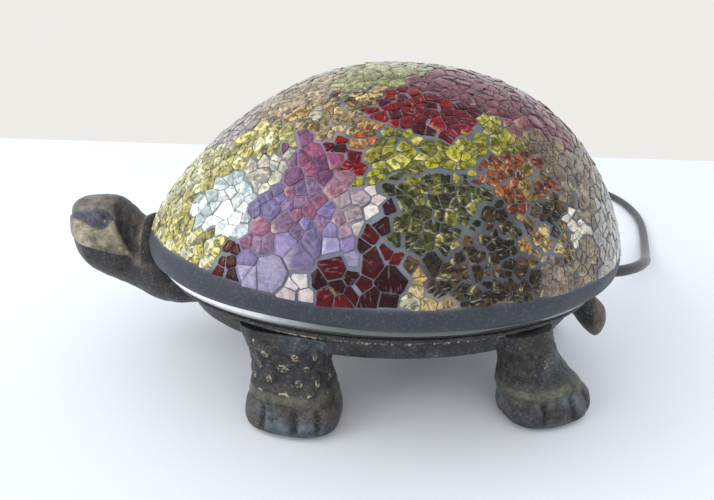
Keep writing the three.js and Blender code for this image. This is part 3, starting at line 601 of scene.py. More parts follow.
# Patches of one glass: the glass, the patch's centre in plan and the usual distance between its chips.
PATCHES = [
    # the head side
    ("yellow", -90, -46, 6), ("yellow", -83, -46, 6.2), ("yellow", -80, -34, 6), ("yellow", -74, -60, 6),
    ("yellow", -67, -65, 6), ("yellow", -59, -68.5, 5.6), ("yellow", -66, -40, 5.6),
    ("yellow", -52, -44, 5.2), ("yellow", -35, -48, 4.8), ("yellow", -92, -22, 6), ("clear", -62, -58, 6),
    ("clear", -53, -58, 6.4), ("clear", -51, -66, 5.8), ("cream", -42, -57, 5.6),
    ("pink_grey", -58, -23, 5.4), ("pink_grey", -72, -8, 5.4),
    # over the top
    ("tan", -47, -20, 5), ("tan", -29, -24, 5), ("amber", -30, -43, 4.6), ("amber", -14, -47, 4.8),
    ("orange", -4, -54, 4.4), ("gold", -8, -39, 4.8), ("pale_green", 5, -21, 5.4),
    ("pale_green", -9, -26, 5.2), ("pale_green", -6, -6, 5.4), ("tan", -30, 2, 5.2),
    # the near flank, towards the head
    ("purple", -29, -54, 7), ("purple", -28, -61, 7), ("crimson", -10, -61, 6), ("purple", -16, -63, 6.6),
    ("violet", -35, -67, 6.6), ("violet", -26, -67, 6.6), ("violet", -18, -76, 7),
    ("salmon", -10, -70, 6.4), ("salmon", -9, -75, 6.6), ("cream_pink", -4.5, -75, 5.6),
    ("violet", -40, -72, 7.4), ("lilac", -33, -80, 10), ("lilac", -45, -78, 7.2),
    ("lilac", -19, -81, 8.6), ("lilac", -10, -80.5, 8), ("violet", -37, -70, 6.4),
    ("dark_red", -62, -73, 6), ("dark_red", -53, -74.8, 6), ("lilac", -49, -79, 6.6),
    ("dark_red", 3, -77, 6.6), ("dark_red", 2, -81, 6.6), ("dark_red", -13, -86, 7.4),
    ("dark_red", -2, -87, 7.4), ("dark_red", 9, -87, 7.4), ("cream_pink", -26, -86, 5.4),
    ("lilac", -38, -84.5, 6.2),
    # the near flank, towards the tail
    ("crimson", 4, -47, 5.6), ("crimson", 19, -45, 6), ("crimson", 29, -49, 6), ("mauve", 39, -27, 6),
    ("mauve", 55, -30, 6), ("mauve", 68, -26, 5.6), ("mauve", 23, -28, 6), ("lemon", 7, -60, 5),
    ("lemon", 20, -62, 5.2), ("lemon", 30, -60, 5), ("lemon", 42, -50, 5), ("lemon", 2, -64, 4.8),
    ("olive", 10, -68, 4.6), ("olive", 23, -67, 4.6), ("olive", 10, -77, 5.2), ("olive", 21, -78, 5.2),
    ("olive", 34, -69, 4.6), ("olive", 29, -74, 4.8), ("rust", 45, -57, 4), ("rust", 57, -53, 4),
    ("rust", 60, -56, 4), ("rust", 52, -61, 4), ("brown_mauve", 64, -42, 4.6), ("brown", 45, -70, 4.6),
    ("dark_brown", 43, -74, 4.6), ("brown", 35, -79, 5), ("brown", 53, -75, 4.2), ("brown", 25, -83, 5),
    ("gold", 60, -65, 4.6), ("gold", 70, -61, 4), ("cream", 75, -56, 4.6), ("taupe", 78, -46, 5.2),
    ("taupe", 83, -54, 5), ("taupe", 69, -67, 5), ("taupe", 77, -38, 5.2), ("pale_taupe", 92, -38, 5.2),
    ("pale_taupe", 92, -46, 5), ("amber", 25, -86, 5.2), ("amber", 18, -86.5, 5.2),
    ("brown", 39, -82, 4.6), ("brown", 64, -59, 4.4), ("pale_taupe", 100, -20, 5.4),
    # the tail side
    ("taupe", 88, -14, 5.4), ("pale_taupe", 104, 6, 5.4), ("yellow", 92, 26, 5), ("yellow", 84, 42, 5),
    ("olive", 98, 30, 5),
    # the far side, which repeats the near side's glasses in another order
    ("mauve", 50, 0, 6), ("crimson", 66, 14, 6), ("crimson", 52, 26, 6), ("pale_green", 16, 12, 5.4),
    ("amber", 30, 22, 5), ("lemon", 2, 34, 5.2), ("lemon", -12, 44, 5), ("olive", 10, 52, 4.8),
    ("olive", -2, 62, 4.8), ("yellow", -18, 60, 4.8), ("violet", 40, 46, 6.8), ("violet", 56, 52, 6.8),
    ("lilac", 66, 58, 8), ("lilac", 50, 66, 8), ("purple", 30, 56, 6.8), ("salmon", 38, 68, 6.4),
    ("dark_red", 24, 78, 7), ("dark_red", 10, 82, 7), ("brown", 60, 36, 5), ("gold", 76, 50, 4.8),
    ("crimson", -40, 26, 6), ("crimson", -54, 34, 6), ("dark_red", -64, 46, 6.6), ("dark_red", -50, 54, 6.6),
    ("purple", -36, 46, 6.6), ("rust", -30, 62, 4.4), ("brown", -38, 70, 4.8), ("gold", -22, 76, 4.8),
    ("amber", -6, 82, 5), ("clear", -74, 30, 5.8), ("clear", -84, 16, 5.8), ("cream", -92, 6, 5.4),
    ("yellow", -86, 38, 4.8), ("taupe", -72, 56, 5), ("pale_taupe", -58, 68, 5.2), ("lilac", -40, 80, 7.4),
]
# How wide a glass's joints are beside the usual ones.
JOINT_WIDTHS = {
    "dark_red": 1.5, "crimson": 1.2, "brown": 1.8, "dark_brown": 1.8, "rust": 1.5, "purple": 0.9,
    "violet": 0.6, "lemon": 1.15, "olive": 1.5, "gold": 1.3, "amber": 1.2, "lilac": 0.75, "salmon": 0.8,
    "mauve": 0.6, "tan": 0.7, "clear": 0.8,
}
# The grout's shade between the chips of one glass, where it differs from the slate.
SLATE = (88, 94, 106)
JOINTS = {
    "violet": (134, 118, 144), "purple": (124, 104, 128), "salmon": (138, 120, 138),
    "lilac": (104, 102, 122), "mauve": (124, 104, 106), "crimson": (118, 104, 112),
    "dark_red": (108, 112, 122), "tan": (142, 130, 116), "pink_grey": (146, 138, 134),
    "amber": (132, 118, 106), "pale_green": (130, 132, 114), "yellow": (128, 128, 114),
    "brown_mauve": (116, 106, 100), "clear": (122, 128, 132), "rust": (96, 88, 84), "brown": (64, 64, 65),
    "dark_brown": (72, 72, 72), "olive": (84, 88, 88),
}
JOINT_LEVEL = 0.95
# The plain band's slate grout, darkened as painted shade for its downward face.
BAND_SLATE_AND_SHADE = np.array((0.013, 0.017, 0.028))
# The colour of the painted highlights along the chips' broken edges.
EDGE_HIGHLIGHT_TINT = colour(226, 214, 150)


class Dome:
    """The shell's outer surface as a fine net, to drop points on to it."""

    def __init__(self):
        angles = turn_angles(220)
        shares = np.sin(np.linspace(0.02, math.pi / 2, 110))
        rows = [crown_point(share, angles, 0) for share in shares]
        rows += [lip_point(turn, angles, 0) for turn in (0.08, 0.16, 0.24)]
        points, faces = skin(rows, crown_top(0))
        self.net = BVHTree.FromPolygons([Vector(p) for p in points], faces)

    def above(self, x, y):
        hit = self.net.ray_cast(Vector((x, y, 300)), Vector((0, 0, -1)))[0]
        return hit or self.net.find_nearest(Vector((x, y, RIM_HEIGHT + 4)))[0]

    def drop(self, point, normal):
        """The surface point under or over point, along normal."""
        reach = 12
        hit = self.net.ray_cast(point + normal * reach, -normal, 3 * reach)[0]
        return hit or self.net.find_nearest(point)[0]

    def normal(self, point):
        """The surface's outward direction at a point, smoothed over the net's faces."""
        step = 1.2
        centre, flat, _, _ = self.net.find_nearest(point)
        if flat.dot(centre - Vector((0, 0, RIM_HEIGHT - 40))) < 0:
            flat = -flat
        across = flat.orthogonal().normalized()
        other = flat.cross(across)
        ends = [self.net.find_nearest(centre + way * step)[0] for way in (across, -across, other, -other)]
        smooth_way = (ends[0] - ends[1]).cross(ends[2] - ends[3]).normalized()
        return smooth_way if smooth_way.dot(flat) > 0 else -smooth_way


dome = Dome()
CHIPS_BOTTOM_RISE = 2.2
TALL_BAND_RISE = 4.5


def chips_bottom(x, y):
    """Where the chips stop above the band, which is taller on the head's near side."""
    angle = math.atan2(y / HALF_WIDTH, x / HALF_LENGTH)
    apart = abs(math.remainder(angle - BARE_LIP_MIDDLE, TAU))
    return RIM_HEIGHT + CHIPS_BOTTOM_RISE + TALL_BAND_RISE * (1 - float(smoothstep(0.5, 1.15, apart)))


def point_finder(points):
    finder = KDTree(len(points))
    for i, point in enumerate(points):
        finder.insert(point, i)
    finder.balance()
    return finder


def random_crown_point(rng):
    height = rng.random()
    return Vector(crown_point(math.sqrt(1 - height * height), rng.random() * TAU, 0))


def random_vector(rng, spread):
    return Vector([rng.gauss(0, spread) for _ in range(3)])


patches = point_finder([dome.above(x, y) for _, x, y, _ in PATCHES])
SEED_TRIES = 60000
GRID_CELL = 10


def scatter_seeds(rng):
    """Chip centres, no two nearer than their patch's chip spacing."""
    seeds = []
    grid = {}
    for _ in range(SEED_TRIES):
        point = random_crown_point(rng)
        if point.z < chips_bottom(point.x, point.y) + 1.2:
            continue
        patch = patches.find(point + random_vector(rng, 1.3))[1]
        spacing = PATCHES[patch][3] * rng.choice((0.5, 0.65, 0.8, 0.9, 1.05, 1.25))
        key = tuple(int(c // GRID_CELL) for c in point)
        near = [seeds[i] for dx in (-1, 0, 1) for dy in (-1, 0, 1) for dz in (-1, 0, 1)
                for i in grid.get((key[0] + dx, key[1] + dy, key[2] + dz), ())]
        if all((point - other[0]).length > (spacing + other[2]) / 2 for other in near):
            grid.setdefault(key, []).append(len(seeds))
            seeds.append((point, patch, spacing))
    return seeds


def clipped(outline, normal, limit):
    kept = []
    for here, there in zip(outline, outline[1:] + outline[:1]):
        a = here[0] * normal[0] + here[1] * normal[1] - limit
        b = there[0] * normal[0] + there[1] * normal[1] - limit
        if a <= 0:
            kept.append(here)
        if a * b < 0:
            t = a / (a - b)
            kept.append((here[0] + (there[0] - here[0]) * t, here[1] + (there[1] - here[1]) * t))
    return kept


def chipped_outline(outline, rng):
    """The cell's outline with its corners nipped off and its long edges broken a little."""
    rounded = []
    count = len(outline)
    for i, corner in enumerate(outline):
        for other, flip in ((outline[i - 1], False), (outline[(i + 1) % count], True)):
            way = (other[0] - corner[0], other[1] - corner[1])
            length = math.hypot(*way)
            if length < 0.25:
                continue
            nip = min(0.25, 0.2 * length) / length
            rounded.append((corner[0] + way[0] * nip, corner[1] + way[1] * nip))
            if flip and length > 2.6:
                nudge = rng.uniform(-0.16, 0.02) / length
                middle = rng.uniform(0.35, 0.65)
                rounded.append((
                    corner[0] + way[0] * middle + way[1] * nudge,
                    corner[1] + way[1] * middle - way[0] * nudge))
    return rounded


TILE_TRIES = 4000
TILE_SPACING = 17
CELL_REACH = 14
NEIGHBOURS = 26


def broken_tiles(rng, seeds):
    """The tile that each chip was broken from, and the way and amount that a tile's chips are drawn out."""
    tiles = []
    for _ in range(TILE_TRIES):
        point = random_crown_point(rng)
        if all((point - other).length > TILE_SPACING for other in tiles):
            tiles.append(point)
    finder = point_finder(tiles)
    tile_of = [finder.find(seed[0] + random_vector(rng, 1))[1] for seed in seeds]
    return tile_of, [(random_vector(rng, 1).normalized(), rng.uniform(0.0, 0.75)) for _ in tiles]


def half_joint(first, second, same_tile, same_glass):
    """Half the gap between two chips: fine cracks inside a tile, and wider joints between two glasses."""
    rng = random.Random(min(first, second) * 7919 + max(first, second))
    if same_glass:
        return rng.uniform(0.06, 0.19) if same_tile else rng.choice((0.1, 0.16, 0.3, 0.55))
    half = rng.uniform(0.15, 0.6)
    return half if same_tile else half + rng.uniform(0.05, 0.4)


def chip_outline(chip, seeds, finder, tile_of, stretch, across, upward):
    """A chip's cell round its centre, cut back by the joint with each neighbour."""
    centre, patch, spacing = seeds[chip]
    glass = PATCHES[patch][0]
    outline = [(x * CELL_REACH, y * CELL_REACH) for x, y in ((-1, -1), (1, -1), (1, 1), (-1, 1))]
    for place, other, _ in finder.find_n(centre, NEIGHBOURS):
        if other == chip:
            continue
        same_tile, same_glass = tile_of[chip] == tile_of[other], PATCHES[seeds[other][1]][0] == glass
        gap = half_joint(chip, other, same_tile, same_glass) * JOINT_WIDTHS.get(glass, 1)
        away = place - centre
        pulled = away.copy()
        for tile in (tile_of[chip], tile_of[other]):
            direction, amount = stretch[tile]
            pulled -= direction * (direction.dot(away) * amount / 2)
        pulled.normalize()
        flat = (pulled.dot(across), pulled.dot(upward))
        size = math.hypot(*flat)
        if size < 1e-6:
            continue
        reach = 0.5 + 0.55 * (spacing / (spacing + seeds[other][2]) - 0.5)
        limit = (pulled.dot(away) * reach - gap) / size
        outline = clipped(outline, (flat[0] / size, flat[1] / size), limit)
        if len(outline) < 3:
            break
    return outline


def make_mosaic():
    rng = random.Random(20)
    seeds = scatter_seeds(rng)
    finder = point_finder([seed[0] for seed in seeds])
    tile_of, stretch = broken_tiles(rng, seeds)
    nodes = {name: obj for name, obj in frame["nodes"].items() if name.startswith("mosaic_")}
    cad = {name: BVHTree.FromPolygons(
        [v.co.copy() for v in obj.data.vertices], [p.vertices[:] for p in obj.data.polygons])
        for name, obj in nodes.items()}
    parts = {name: {"points": [], "faces": [], "smooth": [], "tint": [], "flaw": []} for name in nodes}
    for i, (centre, patch, _) in enumerate(seeds):
        normal = dome.normal(centre)
        across = normal.cross(Vector((0, 0, 1)))
        across = across.normalized() if across.length > 0.05 else Vector((1, 0, 0))
        upward = normal.cross(across).normalized()
        if upward.z < 0:
            upward = -upward
        outline = chip_outline(i, seeds, finder, tile_of, stretch, across, upward)
        floor_height = chips_bottom(centre.x, centre.y) + rng.uniform(-0.7, 1.0)
        if outline and upward.z > 0.05:
            outline = clipped(outline, (0, -1), (centre.z - floor_height) / upward.z)
        if len(outline) < 3:
            continue
        area = 0.5 * abs(sum(
            a[0] * b[1] - b[0] * a[1] for a, b in zip(outline, outline[1:] + outline[:1])))
        if area < SMALLEST_CHIP or (area < LARGE_CHIP and rng.random() < MISSING_SHARE):
            continue
        outline = chipped_outline(outline, rng)
        if len(outline) >= 4:
            add_chip(parts, cad, rng, PATCHES[patch][0], outline, centre, (across, upward, normal), area)
    slots = {m["node"]: m["material_slot"] for m in frame["record"]["subparts"]}
    for name, part in parts.items():
        chips = piece(
            name.replace("mosaic_", "chips_"), part["points"], part["faces"], CRACKLE[slots[name]], "shade",
            [name], part["smooth"], part["tint"], part["flaw"])
        chips.data.validate()


# Areas in mm2: a chip under the first is left out, and one under the second may have been lost.
SMALLEST_CHIP = 1.1
LARGE_CHIP = 14
MISSING_SHARE = 0.012
CHIP_BEVEL = 0.14
CHIP_EDGE_DROP = 0.09
CHIP_DEPTH = 2.08
CHIP_FLATNESS = 0.8
HIGHEST_CHIP = 0.55
STREAK_STRETCH = 0.22


def add_skin(part, rings, heart, under):
    """Joins a chip's rings of points, from its foot up to its face, and closes both ends."""
    first, count = len(part["points"]), len(rings[0])
    part["points"] += [tuple(p) for ring in rings for p in ring] + [tuple(heart), tuple(under)]
    for r, smooth in ((0, False), (1, False), (2, True)):
        part["faces"] += bands(first + r * count, first + (r + 1) * count, count)
        part["smooth"] += [smooth] * count
    tip, foot = first + 4 * count, first + 4 * count + 1
    for i in range(count):
        j = (i + 1) % count
        part["faces"].append((first + 3 * count + i, first + 3 * count + j, tip))
        part["faces"].append((first + j, first + i, foot))
        part["smooth"] += [True, False]


def add_tint(part, rng, outline, middle, glass, shade):
    """The chip's shade, with a painted highlight along one side if its broken edge catches the light."""
    _, crackle, edge_highlight_share = GLASSES[glass]
    lit_way = rng.gauss(-0.4, 0.9)
    catches = rng.random() < edge_highlight_share
    for r in range(4):
        for x, y in outline:
            facing = math.cos(math.atan2(y - middle[1], x - middle[0]) - lit_way)
            light = max(0, facing - 0.35) * (0.9 if catches and r in (1, 2) else 0)
            tone = shade * (1 - light) + (shade * 1.2 + EDGE_HIGHLIGHT_TINT * 0.4) * light
            part["tint"].append((*tone, crackle))
    part["tint"] += [(*shade, crackle), (*shade, crackle)]


def about(middle, size, outline):
    """An outline made smaller about its middle."""
    return [(middle[0] + (x - middle[0]) * size, middle[1] + (y - middle[1]) * size) for x, y in outline]


def add_chip(parts, cad, rng, glass, outline, centre, axes, area):
    across, upward, normal = axes
    shade = colour(*rng.choice(GLASSES[glass][0])) * rng.uniform(0.62, 0.98)
    middle = tuple(sum(p[k] for p in outline) / len(outline) for k in (0, 1))
    tilt = (rng.gauss(0, 0.045), rng.gauss(0, 0.045))
    raised = rng.uniform(-0.06, 0.1)

    def lifted(x, y, height, level=True):
        place = centre + across * x + upward * y
        ground = dome.drop(place, normal)
        above = (place - ground).dot(normal)
        lean = (x - middle[0]) * tilt[0] + (y - middle[1]) * tilt[1]
        rise = height + (above * CHIP_FLATNESS + lean + raised if level else 0)
        return ground + normal * min(rise, HIGHEST_CHIP)

    inner = max(0.6, 1 - 2.2 * CHIP_BEVEL / math.sqrt(area))
    rings = []
    levels = (
        (1, -CHIP_DEPTH, False), (1, -CHIP_EDGE_DROP, True), (inner, 0, True), (inner * 0.5, 0.02, True))
    for size, height, level in levels:
        rings.append([lifted(x, y, height, level) for x, y in about(middle, size, outline)])
    heart = lifted(*middle, 0.03)
    place = Vector(to_frame(heart))
    part = parts[min(cad, key=lambda name: cad[name].find_nearest(place)[3])]
    add_skin(part, rings, heart, lifted(*middle, -CHIP_DEPTH, False))
    add_tint(part, rng, outline, middle, glass, shade)
    way, own = rng.uniform(0, math.pi), rng.uniform(0, 90)
    flat = [spot for size, _, _ in levels for spot in about(middle, size, outline)]
    for x, y in flat + [middle, middle]:
        along, over = x * math.cos(way) + y * math.sin(way), y * math.cos(way) - x * math.sin(way)
        part["flaw"].append((along * STREAK_STRETCH + own, over, own))


def grout_tint(points):
    """The grout's colour at each point: slate darkened with painted shade in the band, and by the glass round
    it between the chips.
    """
    tint = []
    for point in points:
        patch = patches.find(Vector(point))[1]
        joint = colour(*JOINTS.get(PATCHES[patch][0], SLATE)) * JOINT_LEVEL
        bottom = chips_bottom(point[0], point[1])
        above = float(smoothstep(bottom - 1.2, bottom + 1.0, point[2]))
        tint.append((*(BAND_SLATE_AND_SHADE * (1 - above) + joint * above), 1))
    return tint


def lip_tint(points):
    """Grey-green glass, with a painted reflection: a white streak along the top of the bare strip on the
    head's near side.
    """
    x, y, z = np.array(points).T
    angle = np.arctan2(y / HALF_WIDTH, x / HALF_LENGTH)
    top = RIM_HEIGHT - LIP_DEPTH * np.sin(band_edge(angle) * math.pi / 2)
    down = (top - z) / np.maximum(top - (RIM_HEIGHT - LIP_DEPTH), 0.5)
    apart = np.abs(turn_between(angle, BARE_LIP_MIDDLE))
    # The white streak is a painted reflection.
    painted_highlight = (1 - smoothstep(0.55, 1.15, apart)) * (1 - smoothstep(0.4, 0.75, down))
    glass = np.tile(colour(98, 105, 100), (len(x), 1))
    glass = blend_tint(glass, colour(56, 60, 58), smoothstep(0.7, 1.6, apart))
    glass = blend_tint(glass, colour(70, 76, 74), bump(down - 0.8, 0.08) * (1 - smoothstep(0.6, 1.2, apart)))
    return np.column_stack([blend_tint(glass, colour(252, 253, 255), painted_highlight), np.ones(len(x))])


def make_shell():
    angles = turn_angles(SHELL_STEPS)
    band_top = share_at_rise(1.5)
    edge_turn = band_edge(angles)

    def grout_inset(share):
        return 0.3 * (1 - smoothstep(share_at_rise(4.5), band_top, share))

    def lip_inset(turn):
        return 1.5 * smoothstep(edge_turn - 0.16, edge_turn, turn)

    outer = shell_rows(grout_inset, lip_inset, edge_turn)
    rows = []
    for row in outer:
        wander = 0.1 * cloud(row, 9) + 0.05 * cloud(row, 2.5, 7.0)
        away = row - np.array((0, 0, RIM_HEIGHT - 25))
        away /= np.linalg.norm(away, axis=1)[:, None]
        rows.append(row + away * (wander - 0.08)[:, None])
    rounded = [lip_point(edge_turn + 0.012, angles, inset) for inset in (1.6, 1.8, 2.0)]
    inner = shell_rows(lambda share: 2.05, lambda turn: 2.05, edge_turn)[::-1]
    points, faces = skin(rows + rounded + inner, crown_top(0.4), crown_top(2.05))
    piece("grout", points, faces, GROUT, "shade", ["grout_band"], tint=grout_tint(points))

    deep = GLASS_INSET + GLASS_THICKNESS
    outer = shell_rows(lambda share: GLASS_INSET, lambda turn: GLASS_INSET, 1)
    edge = []
    for step in np.linspace(0.12, 0.88, 6):
        swing = math.pi * step
        inset = (GLASS_INSET + deep) / 2 - GLASS_THICKNESS / 2 * math.cos(swing) + LIP_TUCK
        edge.append(oval_point(inset, RIM_HEIGHT - LIP_DEPTH - 0.45 * math.sin(swing), angles))
    inner = shell_rows(lambda share: deep, lambda turn: deep, 1)[::-1]
    points, faces = skin(outer + edge + inner, crown_top(GLASS_INSET), crown_top(deep))
    shell = piece(
        "glass_shell", points, faces, SHELL_GLASS, "shade", ["shade_glass"],
        tint=lip_tint(points))
    shell.data.materials.append(LIP_GLASS)
    lip_top = (RIM_HEIGHT - 0.8) * MM
    for face in shell.data.polygons:
        face.material_index = int(face.center.z < lip_top)


make_shell()
make_mosaic()


# ---- Ring and the shape it leaves for the castings ----
def oval_hoop(profile, around):
    """A closed profile of (inset, z) carried round the shell's oval."""
    angles = turn_angles(around)
    return hoop([np.array([oval_point(inset, z, angle) for inset, z in profile]) for angle in angles])


def inset_of(points):
    """How far inside the widest oval each point is, and its angle on that oval."""
    low, high = np.full(len(points), -60.0), np.full(len(points), HALF_WIDTH - 1.0)
    for _ in range(36):
        middle = (low + high) / 2
        x, y = points[:, 0] / (HALF_LENGTH - middle), points[:, 1] / (HALF_WIDTH - middle)
        outside = x * x + y * y > 1
        high = np.where(outside, middle, high)
        low = np.where(outside, low, middle)
    angle = np.arctan2(points[:, 1] / (HALF_WIDTH - low), points[:, 0] / (HALF_LENGTH - low))
    return low, angle


def shell_outline_inset(z):
    """How far inside the widest oval the shell's side stands at a height, at the head and tail."""
    lip = LIP_TUCK * (1 - np.sqrt(np.clip(1 - ((RIM_HEIGHT - z) / LIP_DEPTH) ** 2, 0, 1)))
    share = share_at_rise(np.clip(z - RIM_HEIGHT, 0, RISE - 1))
    crown = HALF_LENGTH * (1 - share) - CROWN_SHIFT * (1 - share * share) - FLANK_SHIFT * share * (1 - share)
    return np.where(z < RIM_HEIGHT, lip, crown)


UNDER_RING = 39.3


def clear_of_ring(points):
    """Moves a casting's points out of the ring and the shell, as its machined seat does."""
    points = np.array(points, float)
    inset, angle = inset_of(points)
    z = points[:, 2]
    limit = np.where(z > 45.4, 15.85, 16.85)
    limit = np.where(z > 49.4, 8.1, limit)
    limit = np.where(z > 53.1, shell_outline_inset(z) - 1.2, limit)
    inside = (z > UNDER_RING) & (inset > limit)
    sink = inside & (z - UNDER_RING < inset - limit) & (z < 47)
    points[sink, 2] = UNDER_RING
    push = inside & ~sink
    moved = np.where(push, limit, inset)
    points[push, 0] = ((HALF_LENGTH - moved) * np.cos(angle))[push]
    points[push, 1] = ((HALF_WIDTH - moved) * np.sin(angle))[push]
    return points


PATINA = colour(62, 60, 62)
RING_PROFILE = [
    # inset, z, how much gold has worn through
    (17.6, 39.8, 0.1), (29.7, 39.8, 0), (30, 40.1, 0), (30, 42.5, 0), (29.7, 42.8, 0), (21.9, 42.8, 0),
    (21.4, 43.3, 0), (21.4, 49.9, 0), (21.1, 50.3, 0), (16.3, 52.2, 0), (15.8, 52.7, 0), (15.8, 59.1, 0),
    (15.4, 59.5, 0), (13.6, 59.5, 0), (13.2, 59.1, 0), (13.2, 54.1, 0), (12.9, 53.7, 0), (9.3, 53.7, 0.1),
    (8.7, 53.5, 0.12), (8.4, 53.1, 0.22), (8.35, 52.6, 0.2), (8.55, 52.1, 0.12), (9, 51.75, 0.05),
    (11, 51.2, 0), (14, 50.5, 0), (16.4, 49.8, 0), (17.6, 49.3, 0), (18, 48.9, 0), (17.8, 48.5, 0),
    (17.1, 48.1, 0.3), (16.5, 47.75, 0.52), (16.2, 47.3, 0.55), (16.15, 46.8, 0.42), (16.3, 46.2, 0.22),
    (16.7, 45.6, 0.12), (17, 44.6, 0.1), (17.2, 42.6, 0.1), (17.35, 40.3, 0.24),
]


def make_ring():
    around = 260
    points, faces = oval_hoop([row[:2] for row in RING_PROFILE], around)
    points = np.array(points)
    dents = 0.14 * cloud(points, 2.6) + 0.12 * cloud(points, 7.0, 3.0)
    outer = points[:, 2] < 53
    for axis, share_of in ((0, np.cos), (1, np.sin)):
        angle = np.arctan2(points[:, 1], points[:, 0])
        points[:, axis] += np.where(outer, dents * share_of(angle), 0)
    angle = np.arctan2(points[:, 1], points[:, 0])
    wear = np.tile([row[2] for row in RING_PROFILE], around)
    near_leg = bump(turn_between(angle, math.radians(-120)), 0.4)
    wear = wear + 0.14 * near_leg * (wear > 0.25)
    tint = np.column_stack([np.tile(PATINA * 0.6, (len(points), 1)), wear])
    piece("ring", points, faces, CASTING, "base", ["base_ring"], tint=tint)
    strip = [
        (8.8, 54), (11.9, 54), (12.1, 54.2), (12.1, 55), (11.8, 55.3), (8.9, 55.3), (8.6, 55), (8.6, 54.2)]
    points, faces = oval_hoop(strip, 160)
    piece("gasket", points, faces, FELT, "base", ["shade_gasket"])


# ---- Head ----
HEAD_STATIONS = [
    # distance towards the snout, bottom, top, half width
    (76, 29, 39, 8), (82, 26.5, 42, 12), (95, 25, 46, 14), (103, 24, 51, 15), (108.5, 24, 64, 15.2),
    (111.5, 24.3, 70, 15.7), (114.5, 25.1, 71.4, 15.4), (117, 26, 70.2, 14.6), (119.3, 27.2, 69, 13.9),
    (122, 28.8, 71.2, 13.7), (127, 31.6, 77.2, 14.8), (134, 35, 80, 16), (141, 38, 80, 16),
    (147, 41.4, 79.3, 14.6), (150.5, 44, 78.3, 12), (153, 47, 76.8, 9.4), (155, 51.2, 74, 6.4),
    (156.2, 56, 69.5, 3.4),
]
CHEEK_TOP = [(-158, 70), (-150, 70.8), (-145, 70.4), (-140, 68.6), (-136, 67.2), (-132.5, 68), (-129.5, 71)]
CREASE = [(50, -120), (53, -121.5), (60.5, -125.2), (66.5, -127.6), (73, -129.6), (80, -131)]
CROWN_TINT = colour(112, 101, 88)
SOCKET_TINT = colour(72, 72, 82)
CHEEK_TINT = colour(150, 139, 116)
JAW_TINT = colour(54, 50, 54)
NAPE_TINT = colour(76, 68, 61)
# Painted shade for the fold behind the crease and the collar by the shell's edge.
NECK_PAINTED_SHADE = colour(34, 30, 32)


